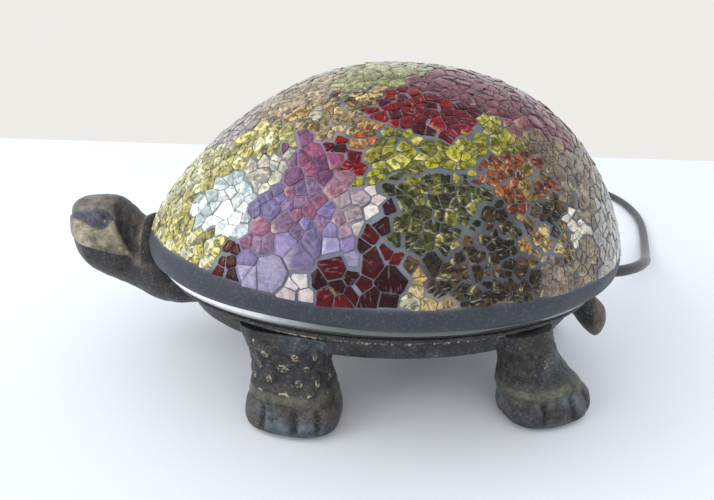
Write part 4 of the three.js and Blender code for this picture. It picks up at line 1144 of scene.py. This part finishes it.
def sculpted_head(points, middles):
    """Presses the mouth, cheek plates, eyes and neck folds into the plain head. Returns points and tints."""
    x, y, z = points.T
    way = points - middles
    way[:, 0] = 0
    way /= np.maximum(np.linalg.norm(way, axis=1), 1e-6)[:, None]
    flank = smoothstep(0.22, 0.5, np.abs(way[:, 1]))
    face = 1 - smoothstep(-124, -119, x)
    mouth = 59 - 0.24 * (x + 147) + 0.02 * np.clip(-147 - x, 0, 20) ** 2
    cheek_top = eased(CHEEK_TOP, x)[:, 0]
    crease = eased(CREASE, z)[:, 0]
    ahead = 1 - smoothstep(-0.6, 0.6, x - crease)
    above_mouth = smoothstep(-0.5, 0.5, z - mouth)
    cheek = above_mouth * (1 - smoothstep(-0.7, 0.7, z - cheek_top)) * ahead
    cheek = cheek * smoothstep(0.3, 0.55, np.abs(way[:, 1]))
    brow = eased([(-158, 73), (-150, 75.2), (-140, 76.8), (-133, 76.4), (-129, 73)], x)[:, 0]
    socket = smoothstep(-0.7, 0.9, z - cheek_top) * (1 - smoothstep(-0.9, 0.7, z - brow)) * ahead * flank
    jaw = (1 - above_mouth) * face
    gap = np.hypot(x + 136, (z - 72.6) * 1.15)
    eye = (1 - smoothstep(1.7, 2.7, gap)) * flank
    lid = bump(gap - 3.1, 0.7) * flank
    behind = smoothstep(-1, 1, x - crease)
    neck = behind * smoothstep(50, 55, z)
    fold = bump(x - crease - 2.2, 2.3) * smoothstep(51, 57, z) * (1 - 0.7 * smoothstep(73, 79, z))
    ridge = bump(x + 117.4, 1.1) * smoothstep(52, 58, z)
    collar = smoothstep(-117, -115.6, x) * smoothstep(48, 52, z)
    groove = bump(x + 118.9, 0.9) * smoothstep(52, 58, z)
    strings = np.sin(x * 2.1 + 0.7 * np.sin(z * 0.35)) * neck * (1 - collar)
    grain = cloud(points, 3.2)
    shift = 0.55 * cheek - 1.25 * socket + 1.5 * eye + 0.35 * lid - 1.5 * fold + 0.55 * ridge - 0.7 * groove
    shift += -0.85 * jaw * bump(np.minimum(z - mouth, 0), 6) + 0.16 * strings + 0.16 * grain * (1 - cheek)
    shift += 0.25 * bump(z - brow - 1.4, 1.4) * ahead * flank - 0.5 * bump(z - mouth, 0.5) * face * flank
    nostril = np.hypot(x + 155.2, z - 66.5)
    shift -= 0.8 * bump(nostril, 0.9) * (np.abs(y) > 1.5)
    tint = np.tile(CROWN_TINT, (len(points), 1)) * (1 + 0.22 * cloud(points * (0.35, 1, 1), 1.3)[:, None])
    mottle = smoothstep(-0.05, 0.3, cloud(points, 3.4, 5.0) + 0.4 * smoothstep(-145, -132, x))
    mottle = mottle * (1 - smoothstep(58, 66, z))
    # The fold and collar shares lay on painted shade.
    for other, share in (
            (NAPE_TINT, neck), (NECK_PAINTED_SHADE, np.clip(fold * 1.3, 0, 1) * 0.85), (SOCKET_TINT, socket),
            (JAW_TINT * 0.7, np.clip(jaw + (1 - smoothstep(46, 53, z)) * (1 - face), 0, 1)),
            (NECK_PAINTED_SHADE * 0.6, collar), (CHEEK_TINT, cheek),
            (colour(84, 74, 60), cheek * mottle * 0.75),
            (colour(98, 78, 76), cheek * (1 - smoothstep(-155, -147.5, x)) * 0.9),
            # The lighter ridge is a painted highlight.
            (NAPE_TINT * 2, np.clip(ridge, 0, 1) * 0.8),
            (colour(150, 146, 140), bump(z - brow + 0.3, 0.6) * ahead * flank * 0.5)):
        tint = blend_tint(tint, other, share)
    # The ridge's gold is part of its painted highlight.
    wear_and_highlights = 0.08 + 0.04 * cheek * smoothstep(-153, -146, x) + 0.3 * ridge - 0.25 * collar - 0.15 * fold
    # The lid's gold at the back of the eye is a painted highlight.
    wear_and_highlights += 0.4 * lid * smoothstep(-137, -133, x) + 0.12 * bump(z - 51, 4) * bump(x + 118, 7)
    return points + way * shift[:, None], np.column_stack([tint, wear_and_highlights])


def make_head():
    places = np.concatenate([np.linspace(76, 104, 16), np.linspace(105, 156.2, 150)])
    count = 132
    rows, middles = [], []
    for reach, (bottom, top, half_width) in zip(places, eased(HEAD_STATIONS, places)):
        angles = turn_angles(count)
        middle, half = (bottom + top) / 2, (top - bottom) / 2
        rows.append(np.stack([
            np.full(count, -reach), half_width * np.cos(angles), middle + half * np.sin(angles)], -1))
        middles.append(np.tile((-reach, 0, middle), (count, 1)))
    points, faces = skin(rows, (-75, 0, 34), (-156.6, 0, 62.5))
    middles = np.concatenate(middles + [np.array([(-75, 0, 33), (-156.6, 0, 62)])])
    points, tint = sculpted_head(np.array(points), middles)
    piece("head", clear_of_ring(points), faces, CASTING, "base", ["head_neck"], tint=tint)


# ---- Legs ----
LEGS = {
    # side, plan place, heading of its outward face, lean and narrowing upwards, and gold left on its scales
    "front_near": (-1, -31.5, 56, 98, 2, 0, 1.0), "front_far": (1, -31.5, 56, 98, 2, 0, 0.8),
    "rear_near": (-1, 75, 38, 62, 14.5, 7, 0.45), "rear_far": (1, 80, 38, 62, 14.5, 7, 0.45),
}
LEG_SECTIONS = [
    # z, half width, reach in, reach out
    (1.5, 19, 10.4, 17.5), (2.4, 20.2, 11.4, 19.3), (4, 20.8, 12, 20), (10, 20.8, 12, 18.8),
    (17, 19, 11, 16), (25, 17.6, 9.5, 14), (33, 17.2, 9, 14), (41, 18.4, 9, 15.5), (46.4, 17.6, 7, 13.5),
]
SCALE_WIDTH = 9.4
SCALE_HEIGHT = 12.6


def leg_place(leg, z, across, outward):
    side, x, y, heading, lean, _, _ = LEGS[leg]
    heading = math.radians(heading)
    along = across - lean * np.clip((z - 10) / 30, 0, 1.2)
    return np.stack([
        x + along * math.sin(heading) + outward * math.cos(heading),
        side * (y - along * math.cos(heading) + outward * math.sin(heading)), z + 0 * along], -1)


def leg_relief(leg, angle, z, gold):
    """Height and wear of the scales and toes, over the angle round the leg and the height."""
    around, up = 17.5 * (angle - math.pi / 2), z - 14
    first, second = around / SCALE_WIDTH + up / SCALE_HEIGHT, up / SCALE_HEIGHT - around / SCALE_WIDTH
    u, v = first % 1, second % 1
    edge = np.minimum(np.minimum(u, 1 - u), np.minimum(v, 1 - v))
    luck = np.array([
        random.Random(f"{leg}{int(a)},{int(b)}").random() for a, b in zip(first // 1, second // 1)])
    scaled = smoothstep(17.5, 20, z) * (1 - smoothstep(42, 46, z))
    low = 1 - (u + v) / 2
    height = smoothstep(0.03, 0.3, edge) * (0.75 + 0.65 * low)
    spot = bump(np.hypot(u - 0.36, v - 0.36), 0.24)
    ring = bump(np.hypot(u - 0.36, v - 0.36) - 0.17, 0.06)
    deep = 0.55 if leg.startswith("front") else 0.3
    height = (height * np.where(luck > 0.2, 1, 0.5) * scaled + 0.3 * ring * scaled) * deep
    wear = (0.48 * spot + 0.5 * ring) * scaled * gold * np.where(luck > 0.3, 0.6 + 0.4 * luck, 0.15)
    if deep < 0.5:
        wear += 0.34 * bump(np.hypot(around + 2, (z - 34) * 1.1), 8)
    toes = 1 - smoothstep(11, 15.5, z)
    across = np.cos(angle) * 20
    cleft = bump(across + 7.5, 1.7) + bump(across - 3, 1.7) + bump(across - 12.5, 1.6)
    cleft = cleft * smoothstep(1.5, 6, z)
    facing = smoothstep(-0.1, 0.35, np.sin(angle))
    knuckles = toes * facing * (0.6 - 1.6 * cleft) - 0.5 * bump(z - 14.2, 0.9) * facing * (1 - cleft)
    height += knuckles + 0.5 * bump(z - 16, 1.8)
    wear += 0.42 * bump(z - 2.2, 1.3) * facing + 0.1 * bump(z - 16.5, 2.5) * gold
    return height, wear


def make_leg(leg):
    gold, narrow = LEGS[leg][6], LEGS[leg][5]
    heights = np.linspace(1.5, 46.4, 110)
    count = 190
    angles = turn_angles(count)
    rows, tint = [], []
    for z, (half_width, inward, outward) in zip(heights, eased(LEG_SECTIONS, heights)):
        width = half_width - narrow * np.clip((z - 17) / 24, 0, 1) + 3 * float(smoothstep(38, 46, z)) ** 2
        height, wear = leg_relief(leg, angles, np.full(count, z), gold)
        depth, middle = (outward + inward) / 2, (outward - inward) / 2
        flat = [np.sign(f) * np.abs(f) ** 0.78 for f in (np.cos(angles), np.sin(angles))]
        across = width * flat[0] + (height - 0.5) * np.cos(angles)
        out = middle + depth * flat[1] + (height - 0.5) * np.sin(angles)
        row = leg_place(leg, z, across, out)
        rows.append(row)
        hue = cloud(row, 13, 2.0)
        lighter = 1.15 if leg.startswith("front") else 1
        patina = np.tile(PATINA * lighter, (count, 1))
        patina = blend_tint(patina, colour(84, 94, 100), smoothstep(0.05, 0.4, hue))
        patina = blend_tint(patina, colour(78, 68, 58), smoothstep(0.05, 0.4, -hue) * 0.7)
        patina = blend_tint(patina, colour(92, 90, 76), bump(z - 18, 4.5) * (0.75 + hue))
        deep = np.clip(1 - height, 0, 0.5) * smoothstep(17.5, 20, z)
        deep += np.clip(0.1 - height, 0, 0.75) * (1 - smoothstep(13, 16, z))
        tint.append(np.column_stack([patina * (1 - deep)[:, None], wear]))
    foot, crown = leg_place(leg, 1.5, np.array(0.0), 2.0), leg_place(leg, 46.5, np.array(0.0), 3.0)
    points, faces = skin(rows, foot, crown)
    tint = np.concatenate(tint + [[(*PATINA, 0), (*PATINA, 0)]])
    if LEGS[leg][0] < 0:
        faces = [face[::-1] for face in faces]
    points = clear_of_ring(points)
    piece(f"casting_{leg}", points, faces, CASTING, "base", [f"leg_{leg}"], tint=tint)
    x, y, _ = leg_place(leg, 0.0, np.array(0.0), 2.0)
    profile = [(0, 0), (11.1, 0), (11.4, 0.15), (11.5, 0.4), (11.5, 0.9), (11.3, 1.1), (11, 1.2), (0, 1.2)]
    points, faces = turned(profile, 72, (x, y))
    piece(f"pad_{leg}", points, faces, FELT, "base", [f"foot_pad_{leg}"])


def make_tail():
    stations = [
        # x, z, half width, half height, pitch
        (77, 35, 3, 2.2, 0), (78, 35, 5, 3.6, 0), (90, 35.4, 6.6, 4.4, -0.1), (98, 34.6, 7.2, 5.6, -0.4),
        (103, 31.8, 7.4, 6.6, -0.75), (107, 26.5, 6.4, 6.4, -1.05), (109, 21.6, 4.6, 4.6, -1.2),
        (109.8, 18.8, 2.9, 2.9, -1.25), (110.2, 17.2, 1.4, 1.4, -1.3)]
    count = 90
    angles = turn_angles(count)
    rows = []
    steps = np.concatenate([np.linspace(77, 98, 22), np.linspace(98.7, 110.2, 44)])
    for x, (z, half_width, half_height, pitch) in zip(steps, eased(stations, steps)):
        keel = 1 + 0.1 * bump(turn_between(angles, math.pi / 2), 0.35)
        rise = half_height * np.sin(angles) * keel
        rows.append(np.stack([
            x - rise * math.sin(pitch), half_width * np.cos(angles), z + rise * math.cos(pitch)], -1))
    points, faces = skin(rows, (76.5, 0, 35), (110.3, 0, 16.6))
    points = np.array(points)
    points += (0.25 * cloud(points, 4))[:, None] * (0, 1, 0)
    # Painted light and shade: the outer end is brown with a little gold as the lit side, the rest near-black
    # as the shaded side.
    painted_lit_side = smoothstep(101, 107, points[:, 0] + 0.3 * points[:, 1])
    tint = blend_tint(np.tile(PATINA * 0.35, (len(points), 1)), colour(88, 76, 62), painted_lit_side)
    tint = np.column_stack([tint, 0.12 * painted_lit_side])
    piece("tail_leaf", clear_of_ring(points), faces, CASTING, "base", ["tail"], tint=tint)


# ---- Screws, strap and lamp holder ----
def node_centre(name):
    low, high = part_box(name)
    return ((low.x + high.x) / 2 - SHELL_X) / MM, (low.y + high.y) / 2 / MM


def make_screw(name):
    x, y = node_centre(name)
    low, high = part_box(name)
    tip, top = low.z / MM, high.z / MM
    seat = top - 2.4
    head = [(3.5, seat), (3.7, seat + 0.25), (3.6, seat + 1.1), (3.3, seat + 1.8), (2.9, seat + 2.15)]
    crown = [(r, seat + 2.4 - 0.03 * r * r) for r in (2.5, 2.2, 1.9, 1.6, 1.3, 1.0, 0.7, 0.4)]
    profile = [(0, tip), (1.5, tip), (2, tip + 0.6)]
    profile += [(2, tip + 0.6 + 0.2 * k) for k in range(1, int((seat - tip - 1.2) / 0.2))]
    points, faces = turned(
        profile + [(2, seat)] + head + crown + [(0, top)], 48, (x, y), (tip + 0.5, seat - 0.4, 0.7, -0.18))
    points = np.array(points)
    across, along = np.abs(points[:, 0] - x), np.abs(points[:, 1] - y)
    cross = (np.minimum(across, along) < 0.42) & (np.maximum(across, along) < 1.8)
    points[cross & (points[:, 2] > seat + 1.9), 2] -= 1.1
    piece(f"{name}_pan", points, faces, STEEL, "base", [name])


def make_strap():
    half_span, width, thick = 66, 8, 1
    route = [(-half_span, 44.1), (-55, 44.1), (-52.5, 42.4), (-40, 29.2), (-37, 27), (-20, 27)]
    route += [(-y, z) for y, z in reversed(route)]
    flat = []
    for (y, z), (y2, z2) in zip(route, route[1:]):
        flat += [(y + (y2 - y) * t, z + (z2 - z) * t) for t in np.linspace(0, 1, 9)[:-1]]
    flat.append(route[-1])
    for _ in range(3):
        line = np.array(flat)
        middle = (line[:-2] + 2 * line[1:-1] + line[2:]) / 4
        flat = [flat[0]] + [tuple(place) for place in middle] + [flat[-1]]
    section = ((-1, -0.6), (-0.93, -1), (0.93, -1), (1, -0.6), (1, 0.6), (0.93, 1), (-0.93, 1), (-1, 0.6))
    rows = []
    for i, (y, z) in enumerate(flat):
        before, after = flat[max(i - 1, 0)], flat[min(i + 1, len(flat) - 1)]
        lean = math.atan2(after[1] - before[1], after[0] - before[0])
        end = 0.35 if i in (0, len(flat) - 1) else 0
        row = []
        for across, up in section:
            rise = up * (thick - end)
            row.append((across * (width - end), y - rise * math.sin(lean), z + rise * math.cos(lean)))
        rows.append(row)
    points, faces = skin(rows, (0, flat[0][0], flat[0][1]), (0, flat[-1][0], flat[-1][1]))
    piece("strap", points, faces, STEEL, "base", ["holder_strap"], smooth=False)


def lathe(name, profile, look, body, node, sides=72, thread=None):
    points, faces = turned(profile, sides, (0, 0), thread)
    piece(name, points, faces, look, body, [node])


def threaded(radius, low, high, pitch):
    """Points up a wall, close enough together to carry a thread."""
    steps = int((high - low) / pitch * 8)
    return [(radius, low + (high - low) * k / steps) for k in range(steps + 1)]


def make_nut():
    rows = []
    flats, bore = 7, 5.05
    for share, z in ((0, 22.4), (1, 22.4), (2, 22.9), (2, 25.2), (1, 25.7), (0, 25.7)):
        row = []
        for i in range(96):
            angle = TAU * i / 96
            to_flat = flats / math.cos((angle % (TAU / 6)) - TAU / 12)
            radius = (bore, min(to_flat, 7.1), min(to_flat, 7.95))[share]
            row.append((radius * math.cos(angle), radius * math.sin(angle), z))
        rows.append(row)
    points, faces = hoop(rows)
    piece("nut", points, faces, BRASS, "base", ["nipple_nut"], smooth=False)


CAP_PITCH = 2.83


def make_holder():
    nipple = [(3.3, 20), (4.5, 20)] + threaded(4.7, 20.3, 36.7, 1.4) + [(4.5, 37), (3.3, 37), (3.3, 20)]
    lathe("nipple", nipple, BRASS, "base", "threaded_nipple", thread=(20.3, 36.7, 1.4, 0.22))
    make_nut()
    washer = [(5.1, 28.35), (5.25, 28.3), (8.2, 28.3), (8.4, 28.45), (8.4, 29.15), (8.2, 29.3), (5.25, 29.3),
              (5.1, 29.15), (5.1, 28.35)]
    lathe("washer", washer, STEEL, "base", "lock_washer")
    ribs = []
    for k in range(5):
        z = 35 + 2.2 * k
        ribs += [(13.5, z), (13.1, z + 0.3), (13.1, z + 0.9), (13.5, z + 1.2)]
    shell = [(5.1, 29.6), (11.6, 29.6), (12.4, 29.9), (13.3, 31.2), (13.5, 32)] + ribs
    shell += [(13.5, 55.6), (13.3, 56), (11.9, 56), (11.7, 55.8), (11.7, 34.2), (11.4, 34), (5.3, 34),
              (5.1, 33.8), (5.1, 29.6)]
    lathe("holder_shell", shell, PLASTIC, "base", "holder_body")
    sleeve = [(9.2, 56.3), (13.2, 56.3), (13.5, 56.6), (13.5, 58.5), (12.9, 59), (12.9, 71.8), (12.4, 72.9),
              (11.6, 73.4), (9.6, 73.4), (9, 72.9), (9, 56.5), (9.2, 56.3)]
    lathe("sleeve", sleeve, PLASTIC, "base", "holder_sleeve")
    lathe("carrier", [(0, 44), (10.9, 44), (11.3, 44.4), (11.3, 47.1), (10.9, 47.5), (0, 47.5)],
          CERAMIC, "base", "contact_carrier")
    wall = threaded(8.05, 48.3, 70.8, CAP_PITCH)
    inside = [(radius - 0.5, z) for radius, z in reversed(wall)]
    socket = [(7.5, 47.8), (8.1, 47.8)] + wall + [(8.2, 71.8), (7.9, 72), (7.6, 71.8)] + inside
    lathe("screw_socket", socket + [(7.5, 47.8)], BRASS, "base", "screw_shell",
          thread=(48.3, 70.8, CAP_PITCH, 0.12))
    spring = [(0, 47.8), (3, 47.8), (3, 48.3), (2.6, 49), (1.8, 49.5), (0.8, 49.75), (0, 49.8)]
    lathe("spring_contact", spring, BRASS, "base", "centre_contact")


BULB_RADIUS = 22
BULB_MIDDLE = 104
BULB_WALL = 0.8


def make_bulb():
    tip = [(0, 50.1), (1, 50.15), (1.9, 50.5), (2.5, 51.2), (2.7, 52), (2.7, 52.8), (2.4, 53), (0, 53)]
    lathe("tip_contact", tip, STEEL, "bulb_tip", "bulb_tip")
    wall = threaded(6.8, 55, 72, CAP_PITCH)
    inside = [(6.3, z) for z in np.linspace(74.3, 55.4, 12)]
    cap = [(3, 52), (4.6, 52.1), (6, 52.6), (6.6, 53.8)] + wall + [(6.95, 73), (6.95, 74.2), (6.7, 74.5)]
    cap += inside + [(3, 54.2), (3, 52)]
    lathe("cap", cap, STEEL, "bulb", "bulb_cap", thread=(55, 72, CAP_PITCH, 0.14))
    outer = [
        (BULB_RADIUS * math.cos(a), BULB_MIDDLE + BULB_RADIUS * math.sin(a))
        for a in np.linspace(math.pi / 2, -0.93, 40)[1:]]
    neck = [(0, 13.15, 86.36), (1, 11, 83.3), (2, 9.4, 79.7), (3, 7.4, 76.6), (4, 6.1, 74.6)]
    outer += [tuple(row) for row in eased(neck, np.linspace(0.3, 4, 16))]
    outer.append((6, 58.4))
    inner = [(max(r - BULB_WALL, 0.3), z) for r, z in reversed(outer)]
    top = BULB_MIDDLE + BULB_RADIUS
    lathe("bulb_envelope", [(0, top)] + outer + [(5.6, 58)] + inner + [(0, top - BULB_WALL)],
          BULB_GLASS, "bulb", "bulb_glass", 96)
    stem = [(0, 59), (3.6, 59), (4, 59.4), (3.8, 61.5), (3.2, 64.5), (2, 70), (1.5, 76), (1.3, 84),
            (1.3, 91.5), (2, 93.2), (2.9, 94.2), (3, 95), (2.6, 95.8), (1.4, 96.3), (0, 96.5)]
    lathe("stem_mount", stem, BULB_GLASS, "bulb", "bulb_stem", 48)
    make_filament()


def make_filament():
    """A coiled wire in a half circle, on two straight leads that rise from the stem."""
    steps, coils, radius, height, ripple = 220, 40, 8.8, 107, 0.28
    lead = [(2.5, 0, 95.4), (5.2, 0, 99), (8.6, 0, 106)]
    route = list(lead)
    for k in range(steps + 1):
        angle = k / steps * math.pi
        turn = TAU * coils * (k / steps)
        reach = radius + ripple * math.cos(turn)
        route.append((reach * math.cos(angle), reach * math.sin(angle), height + ripple * math.sin(turn)))
    route += [(-x, y, z) for x, y, z in reversed(lead)]
    data = bpy.data.curves.new("filament", "CURVE")
    data.dimensions = "3D"
    data.bevel_depth = 0.00012
    data.bevel_resolution = 1
    line = data.splines.new("POLY")
    line.points.add(len(route) - 1)
    for knot, place in zip(line.points, to_frame(route)):
        knot.co = (*place, 1)
    data.materials.append(TUNGSTEN)
    add_object("filament", data, "bulb")


# ---- What is on the cord ----
SWITCH = {"x": 3, "y": 243, "length": 62, "width": 24, "split": 9.6, "height": 19}
CORD_HOLE = 3.25
ROCKER = {"length": 17.5, "width": 10.8, "pivot": 14.5, "tilt": 10}
PLUG = {"x": 40, "y": 214, "length": 36, "thickness": 13.7, "pin_spacing": 18.6, "pin_length": 19}


def rounded_row(half_length, half_width, corner, z, centre, count=168):
    """A rounded rectangle's outline at a height; points at the same share of the way round match up."""
    arcs = count // 4
    row = []
    for quarter in range(4):
        mid_x = (half_length - corner) * (1 if quarter in (0, 3) else -1)
        mid_y = (half_width - corner) * (1 if quarter in (0, 1) else -1)
        for k in range(arcs):
            angle = math.pi / 2 * (quarter + k / (arcs - 1))
            x = centre[0] + mid_x + corner * math.cos(angle)
            y = centre[1] + mid_y + corner * math.sin(angle)
            row.append((x, y, z))
    return spread_evenly(row, count)


def spread_evenly(row, count):
    """The same closed outline with its points an even distance apart, starting at its +X end."""
    points = np.array(row + [row[0]], float)
    lengths = np.concatenate([[0], np.cumsum(np.linalg.norm(np.diff(points, axis=0), axis=1))])
    steps = np.arange(count) / count * lengths[-1]
    return np.stack([np.interp(steps, lengths, points[:, axis]) for axis in range(3)], -1)


def notched(rows, split, side, centre_y):
    """Lifts a half shell's ends over the cord's hole at the split."""
    lifted = []
    for row in rows:
        row = np.array(row, float)
        across = np.abs(row[:, 1] - centre_y)
        arch = np.sqrt(np.clip(CORD_HOLE ** 2 - across ** 2, 0, None))
        at_split = (np.abs(row[:, 2] - split) < 0.5) & (across < CORD_HOLE)
        row[at_split, 2] = split + side * arch[at_split]
        lifted.append(row)
    return lifted


def make_switch():
    centre = (SWITCH["x"], SWITCH["y"])
    long, wide, split, height = SWITCH["length"] / 2, SWITCH["width"] / 2, SWITCH["split"], SWITCH["height"]
    room = (long - 7, wide - 2, 4)
    gap = 0.12
    shapes = [(long, wide, 9, split - gap), (long, wide, 9, 5.4), (long, wide, 9, 2.2),
              (long - 0.6, wide - 0.6, 8.4, 0.8), (long - 2, wide - 2, 7, 0), (long - 20, wide - 8, 3, 0),
              (4, 1, 0.9, 0)]
    inner = [(4, 1, 0.9, 2), (*room, 2), (*room, 5.4), (*room, split - gap)]
    rows = [rounded_row(*shape, centre) for shape in shapes + inner]
    points, faces = hoop(notched(rows, split - gap, -1, centre[1]))
    piece("switch_base", points, faces, PLASTIC, "base", ["switch_lower"])
    window = (ROCKER["length"] / 2 + 0.9, ROCKER["width"] / 2 + 0.3, 0.6)
    shapes = [(long, wide, 9, split + gap), (long, wide, 9, split + 4),
              (long - 0.5, wide - 0.5, 8.5, height - 1.6), (long - 1.4, wide - 1.4, 7.6, height - 0.5),
              (long - 3, wide - 3, 6, height), (window[0] + 1.2, window[1] + 1.2, 1.6, height),
              (window[0] + 0.3, window[1] + 0.3, 0.9, height - 0.15), (*window, height - 0.5),
              (*window, height - 2), (*room, height - 2), (*room, split + 4), (*room, split + gap)]
    rows = [rounded_row(*shape, centre) for shape in shapes]
    points, faces = hoop(notched(rows, split + gap, 1, centre[1]))
    piece("switch_cover", points, faces, PLASTIC, "base", ["switch_upper"])
    half = ROCKER["length"] / 2
    outline = [(-half, -1.5), (half, -1.5), (half, 4.1), (half - 0.3, 5.6), (half - 1, 6.5)]
    outline += [(x, 4.6 + 1.9 * (abs(x) / 7.75) ** 1.5) for x in np.linspace(7, -7, 19)]
    outline += [(1 - half, 6.5), (0.3 - half, 5.6), (-half, 4.1)]
    tilt = math.radians(ROCKER["tilt"])
    rows = []
    for share, side in ((0.94, -1), (0.985, -0.965), (1, -0.9), (1, 0.9), (0.985, 0.965), (0.94, 1)):
        row = []
        for x, z in outline:
            x, z = x * share, 2.4 + (z - 2.4) * share
            row.append((
                centre[0] + x * math.cos(tilt) + z * math.sin(tilt), centre[1] + side * ROCKER["width"] / 2,
                ROCKER["pivot"] - x * math.sin(tilt) + z * math.cos(tilt)))
        rows.append(row)
    ends = [np.mean(row, axis=0) for row in (rows[0], rows[-1])]
    points, faces = skin(rows, ends[0], ends[1])
    piece("rocker", points, faces, PLASTIC, "switch_rocker", ["switch_rocker"])


def make_plug():
    middle = PLUG["thickness"] / 2
    stations = [(0, 5.1, 5.1), (0.5, 5.5, 5.5), (5, 5.7, 5.7), (9, 6.2, 6.1), (13, 9.8, 6.5),
                (17, 13.6, 6.8), (21, 16, 6.85), (24, 16.9, 6.85), (30, 17, 6.85), (34.6, 17, 6.85),
                (35.6, 16.5, 6.3), (36, 15.6, 5.4)]
    steps = np.concatenate([[0, 0.25, 0.5], np.linspace(1.5, 34.6, 30), [35, 35.3, 35.6, 35.8, 36]])
    angles = turn_angles(96)
    mouth = [[(x, 3.15 * math.cos(a), 3.15 * math.sin(a)) for a in angles] for x in (7, 3.5, 0)]
    rows = [np.array(row) + (PLUG["x"], PLUG["y"], middle) for row in mouth]
    for x, (half_width, half_height) in zip(steps, eased(stations, steps)):
        half_width, half_height = min(half_width, 17), min(half_height, 6.85)
        power = 1 - 0.45 * float(smoothstep(6, 20, x))
        grip = 0.35 * math.sin(x * 1.9) ** 2 * float(smoothstep(17, 19, x) * (1 - smoothstep(30, 32, x)))
        row = []
        for angle in angles:
            c, s = math.cos(angle), math.sin(angle)
            side = math.copysign(abs(c) ** power, c) * half_width
            up = math.copysign(abs(s) ** power, s) * half_height
            row.append((x, side - math.copysign(grip * abs(c) ** 8, c), up))
        rows.append(np.array(row) + (PLUG["x"], PLUG["y"], middle))
    points, faces = skin(rows, (PLUG["x"] + 7, PLUG["y"], middle), (PLUG["x"] + 36, PLUG["y"], middle))
    faces = [face[::-1] for face in faces]
    piece("plug", points, faces, PLASTIC, "base", ["plug_body"])
    start = PLUG["x"] + PLUG["length"] + 0.3
    end = start + PLUG["pin_length"]
    for side, word in ((-1, "near"), (1, "far")):
        profile = [(0, start), (2, start), (2, start + 9.8), (1.9, start + 10), (1.9, end - 1.6),
                   (1.5, end - 0.5), (0.9, end), (0, end)]
        points, faces = turned(profile, 40)
        pin = along_x(points, PLUG["y"] + side * PLUG["pin_spacing"] / 2, middle)
        piece(f"pin_{word}", pin, faces, BRASS, "base", [f"plug_pin_{word}"])


def make_boot():
    ribs = []
    for k in range(4):
        x, reach = 99.4 + 2.7 * k, 4.15 - 0.06 * k
        ribs += [(reach, x), (reach, x + 1.3), (reach - 0.45, x + 1.6), (reach - 0.45, x + 2.4)]
    profile = [(3.2, 86.6), (3.6, 86.6), (3.7, 86.8), (3.7, 93.3), (4.4, 93.4), (4.5, 93.6), (4.5, 95.8),
               (4.3, 96.2), (3.7, 98), (3.7, 99)]
    profile += ribs + [(3.6, 111), (3.5, 111.4), (3.2, 111.4), (3.2, 86.6)]
    points, faces = turned(profile, 56)
    faces = [face[::-1] for face in faces]
    piece("boot", along_x(points, *OUTLET), faces, SHEATH, "base", ["strain_relief"])


def make_tie():
    middle, half, top, thick = COIL["y"] - COIL["radius"], 10.5, 13.8, 0.7
    outline = rounded_row(half, top / 2, 3.4, 0, (0, 0), 96)
    inner = rounded_row(half - thick, top / 2 - thick, 2.8, 0, (0, 0), 96)
    sections = []
    for outside, inside in zip(outline, inner):
        section = []
        for share, reach in ((0, -3.7), (1, -4), (1, 4), (0, 3.7)):
            y, z = (outside if share == 0 else inside)[:2]
            section.append((COIL["x"] + reach, middle + y, top / 2 + z))
        sections.append(section)
    points, faces = hoop(sections)
    piece("tie", points, faces, FELT, "base", ["coil_tie"])


make_ring()
make_head()
for name in LEGS:
    make_leg(name)
make_tail()
for name in frame["nodes"]:
    if "_screw_" in name and name.startswith(("leg", "strap")) or name in ("neck_screw", "tail_screw"):
        make_screw(name)
make_strap()
make_holder()
make_bulb()
make_switch()
make_plug()
make_boot()
make_tie()


# ---- Floor and light ----
def area_light(name, power, size, place, aim, tint=(1, 1, 1)):
    data = bpy.data.lights.new(name, "AREA")
    data.energy = power
    data.shape = "RECTANGLE"
    data.size, data.size_y = size
    data.color = tint
    light = bpy.data.objects.new(name, data)
    bpy.context.scene.collection.objects.link(light)
    light.location = place
    light.rotation_euler = (Vector(aim) - Vector(place)).to_track_quat("-Z", "Y").to_euler()


FLOOR_REACH = 6000
FLOOR_BACK = 520


def make_stage():
    points = [(x, y, 0) for x, y in (
        (-FLOOR_REACH, -FLOOR_REACH), (FLOOR_REACH, -FLOOR_REACH), (FLOOR_REACH, FLOOR_BACK),
        (-FLOOR_REACH, FLOOR_BACK))]
    mesh = bpy.data.meshes.new("floor")
    mesh.from_pydata(to_frame(points).tolist(), [], [(0, 1, 2, 3)])
    look, tree, shader = new_look("floor", Roughness=0.75)
    weave = noise_of(tree, place_of(tree), 1800.0, 3.0)
    cloth = mixed(tree, ranged(tree, weave, 0.3, 0.7, 0.0, 1.0), (0.82, 0.83, 0.85), (0.88, 0.89, 0.91))
    tree.links.new(cloth, shader.inputs["Base Color"])
    bumped(tree, shader, weave, 0.15, 0.0004)
    mesh.materials.append(look)
    floor = bpy.data.objects.new("floor", mesh)
    bpy.context.scene.collection.objects.link(floor)
    world = bpy.data.worlds.new("room")
    bpy.context.scene.world = world
    world.use_nodes = True
    tree = world.node_tree
    background = tree.nodes["Background"]
    seen = node(tree, "LightPath").outputs["Is Camera Ray"]
    tree.links.new(mixed(tree, seen, (0.92, 0.98, 1.06), (0.86, 0.84, 0.81)), background.inputs["Color"])
    aim = (SHELL_X, 0, 0.07)
    area_light("window", 13.0, (1.3, 1.1), (-1.6, -1.15, 0.95), aim, (1, 0.99, 0.97))
    area_light("left_pane", 6.0, (0.7, 0.9), (-1.4, -0.25, 1.4), aim, (0.96, 0.98, 1))
    area_light("room_fill", 8.0, (2.4, 1.8), (0.6, -1.9, 1.9), aim, (1, 0.98, 0.95))
    bpy.context.scene.view_settings.view_transform = "Standard"


make_stage()
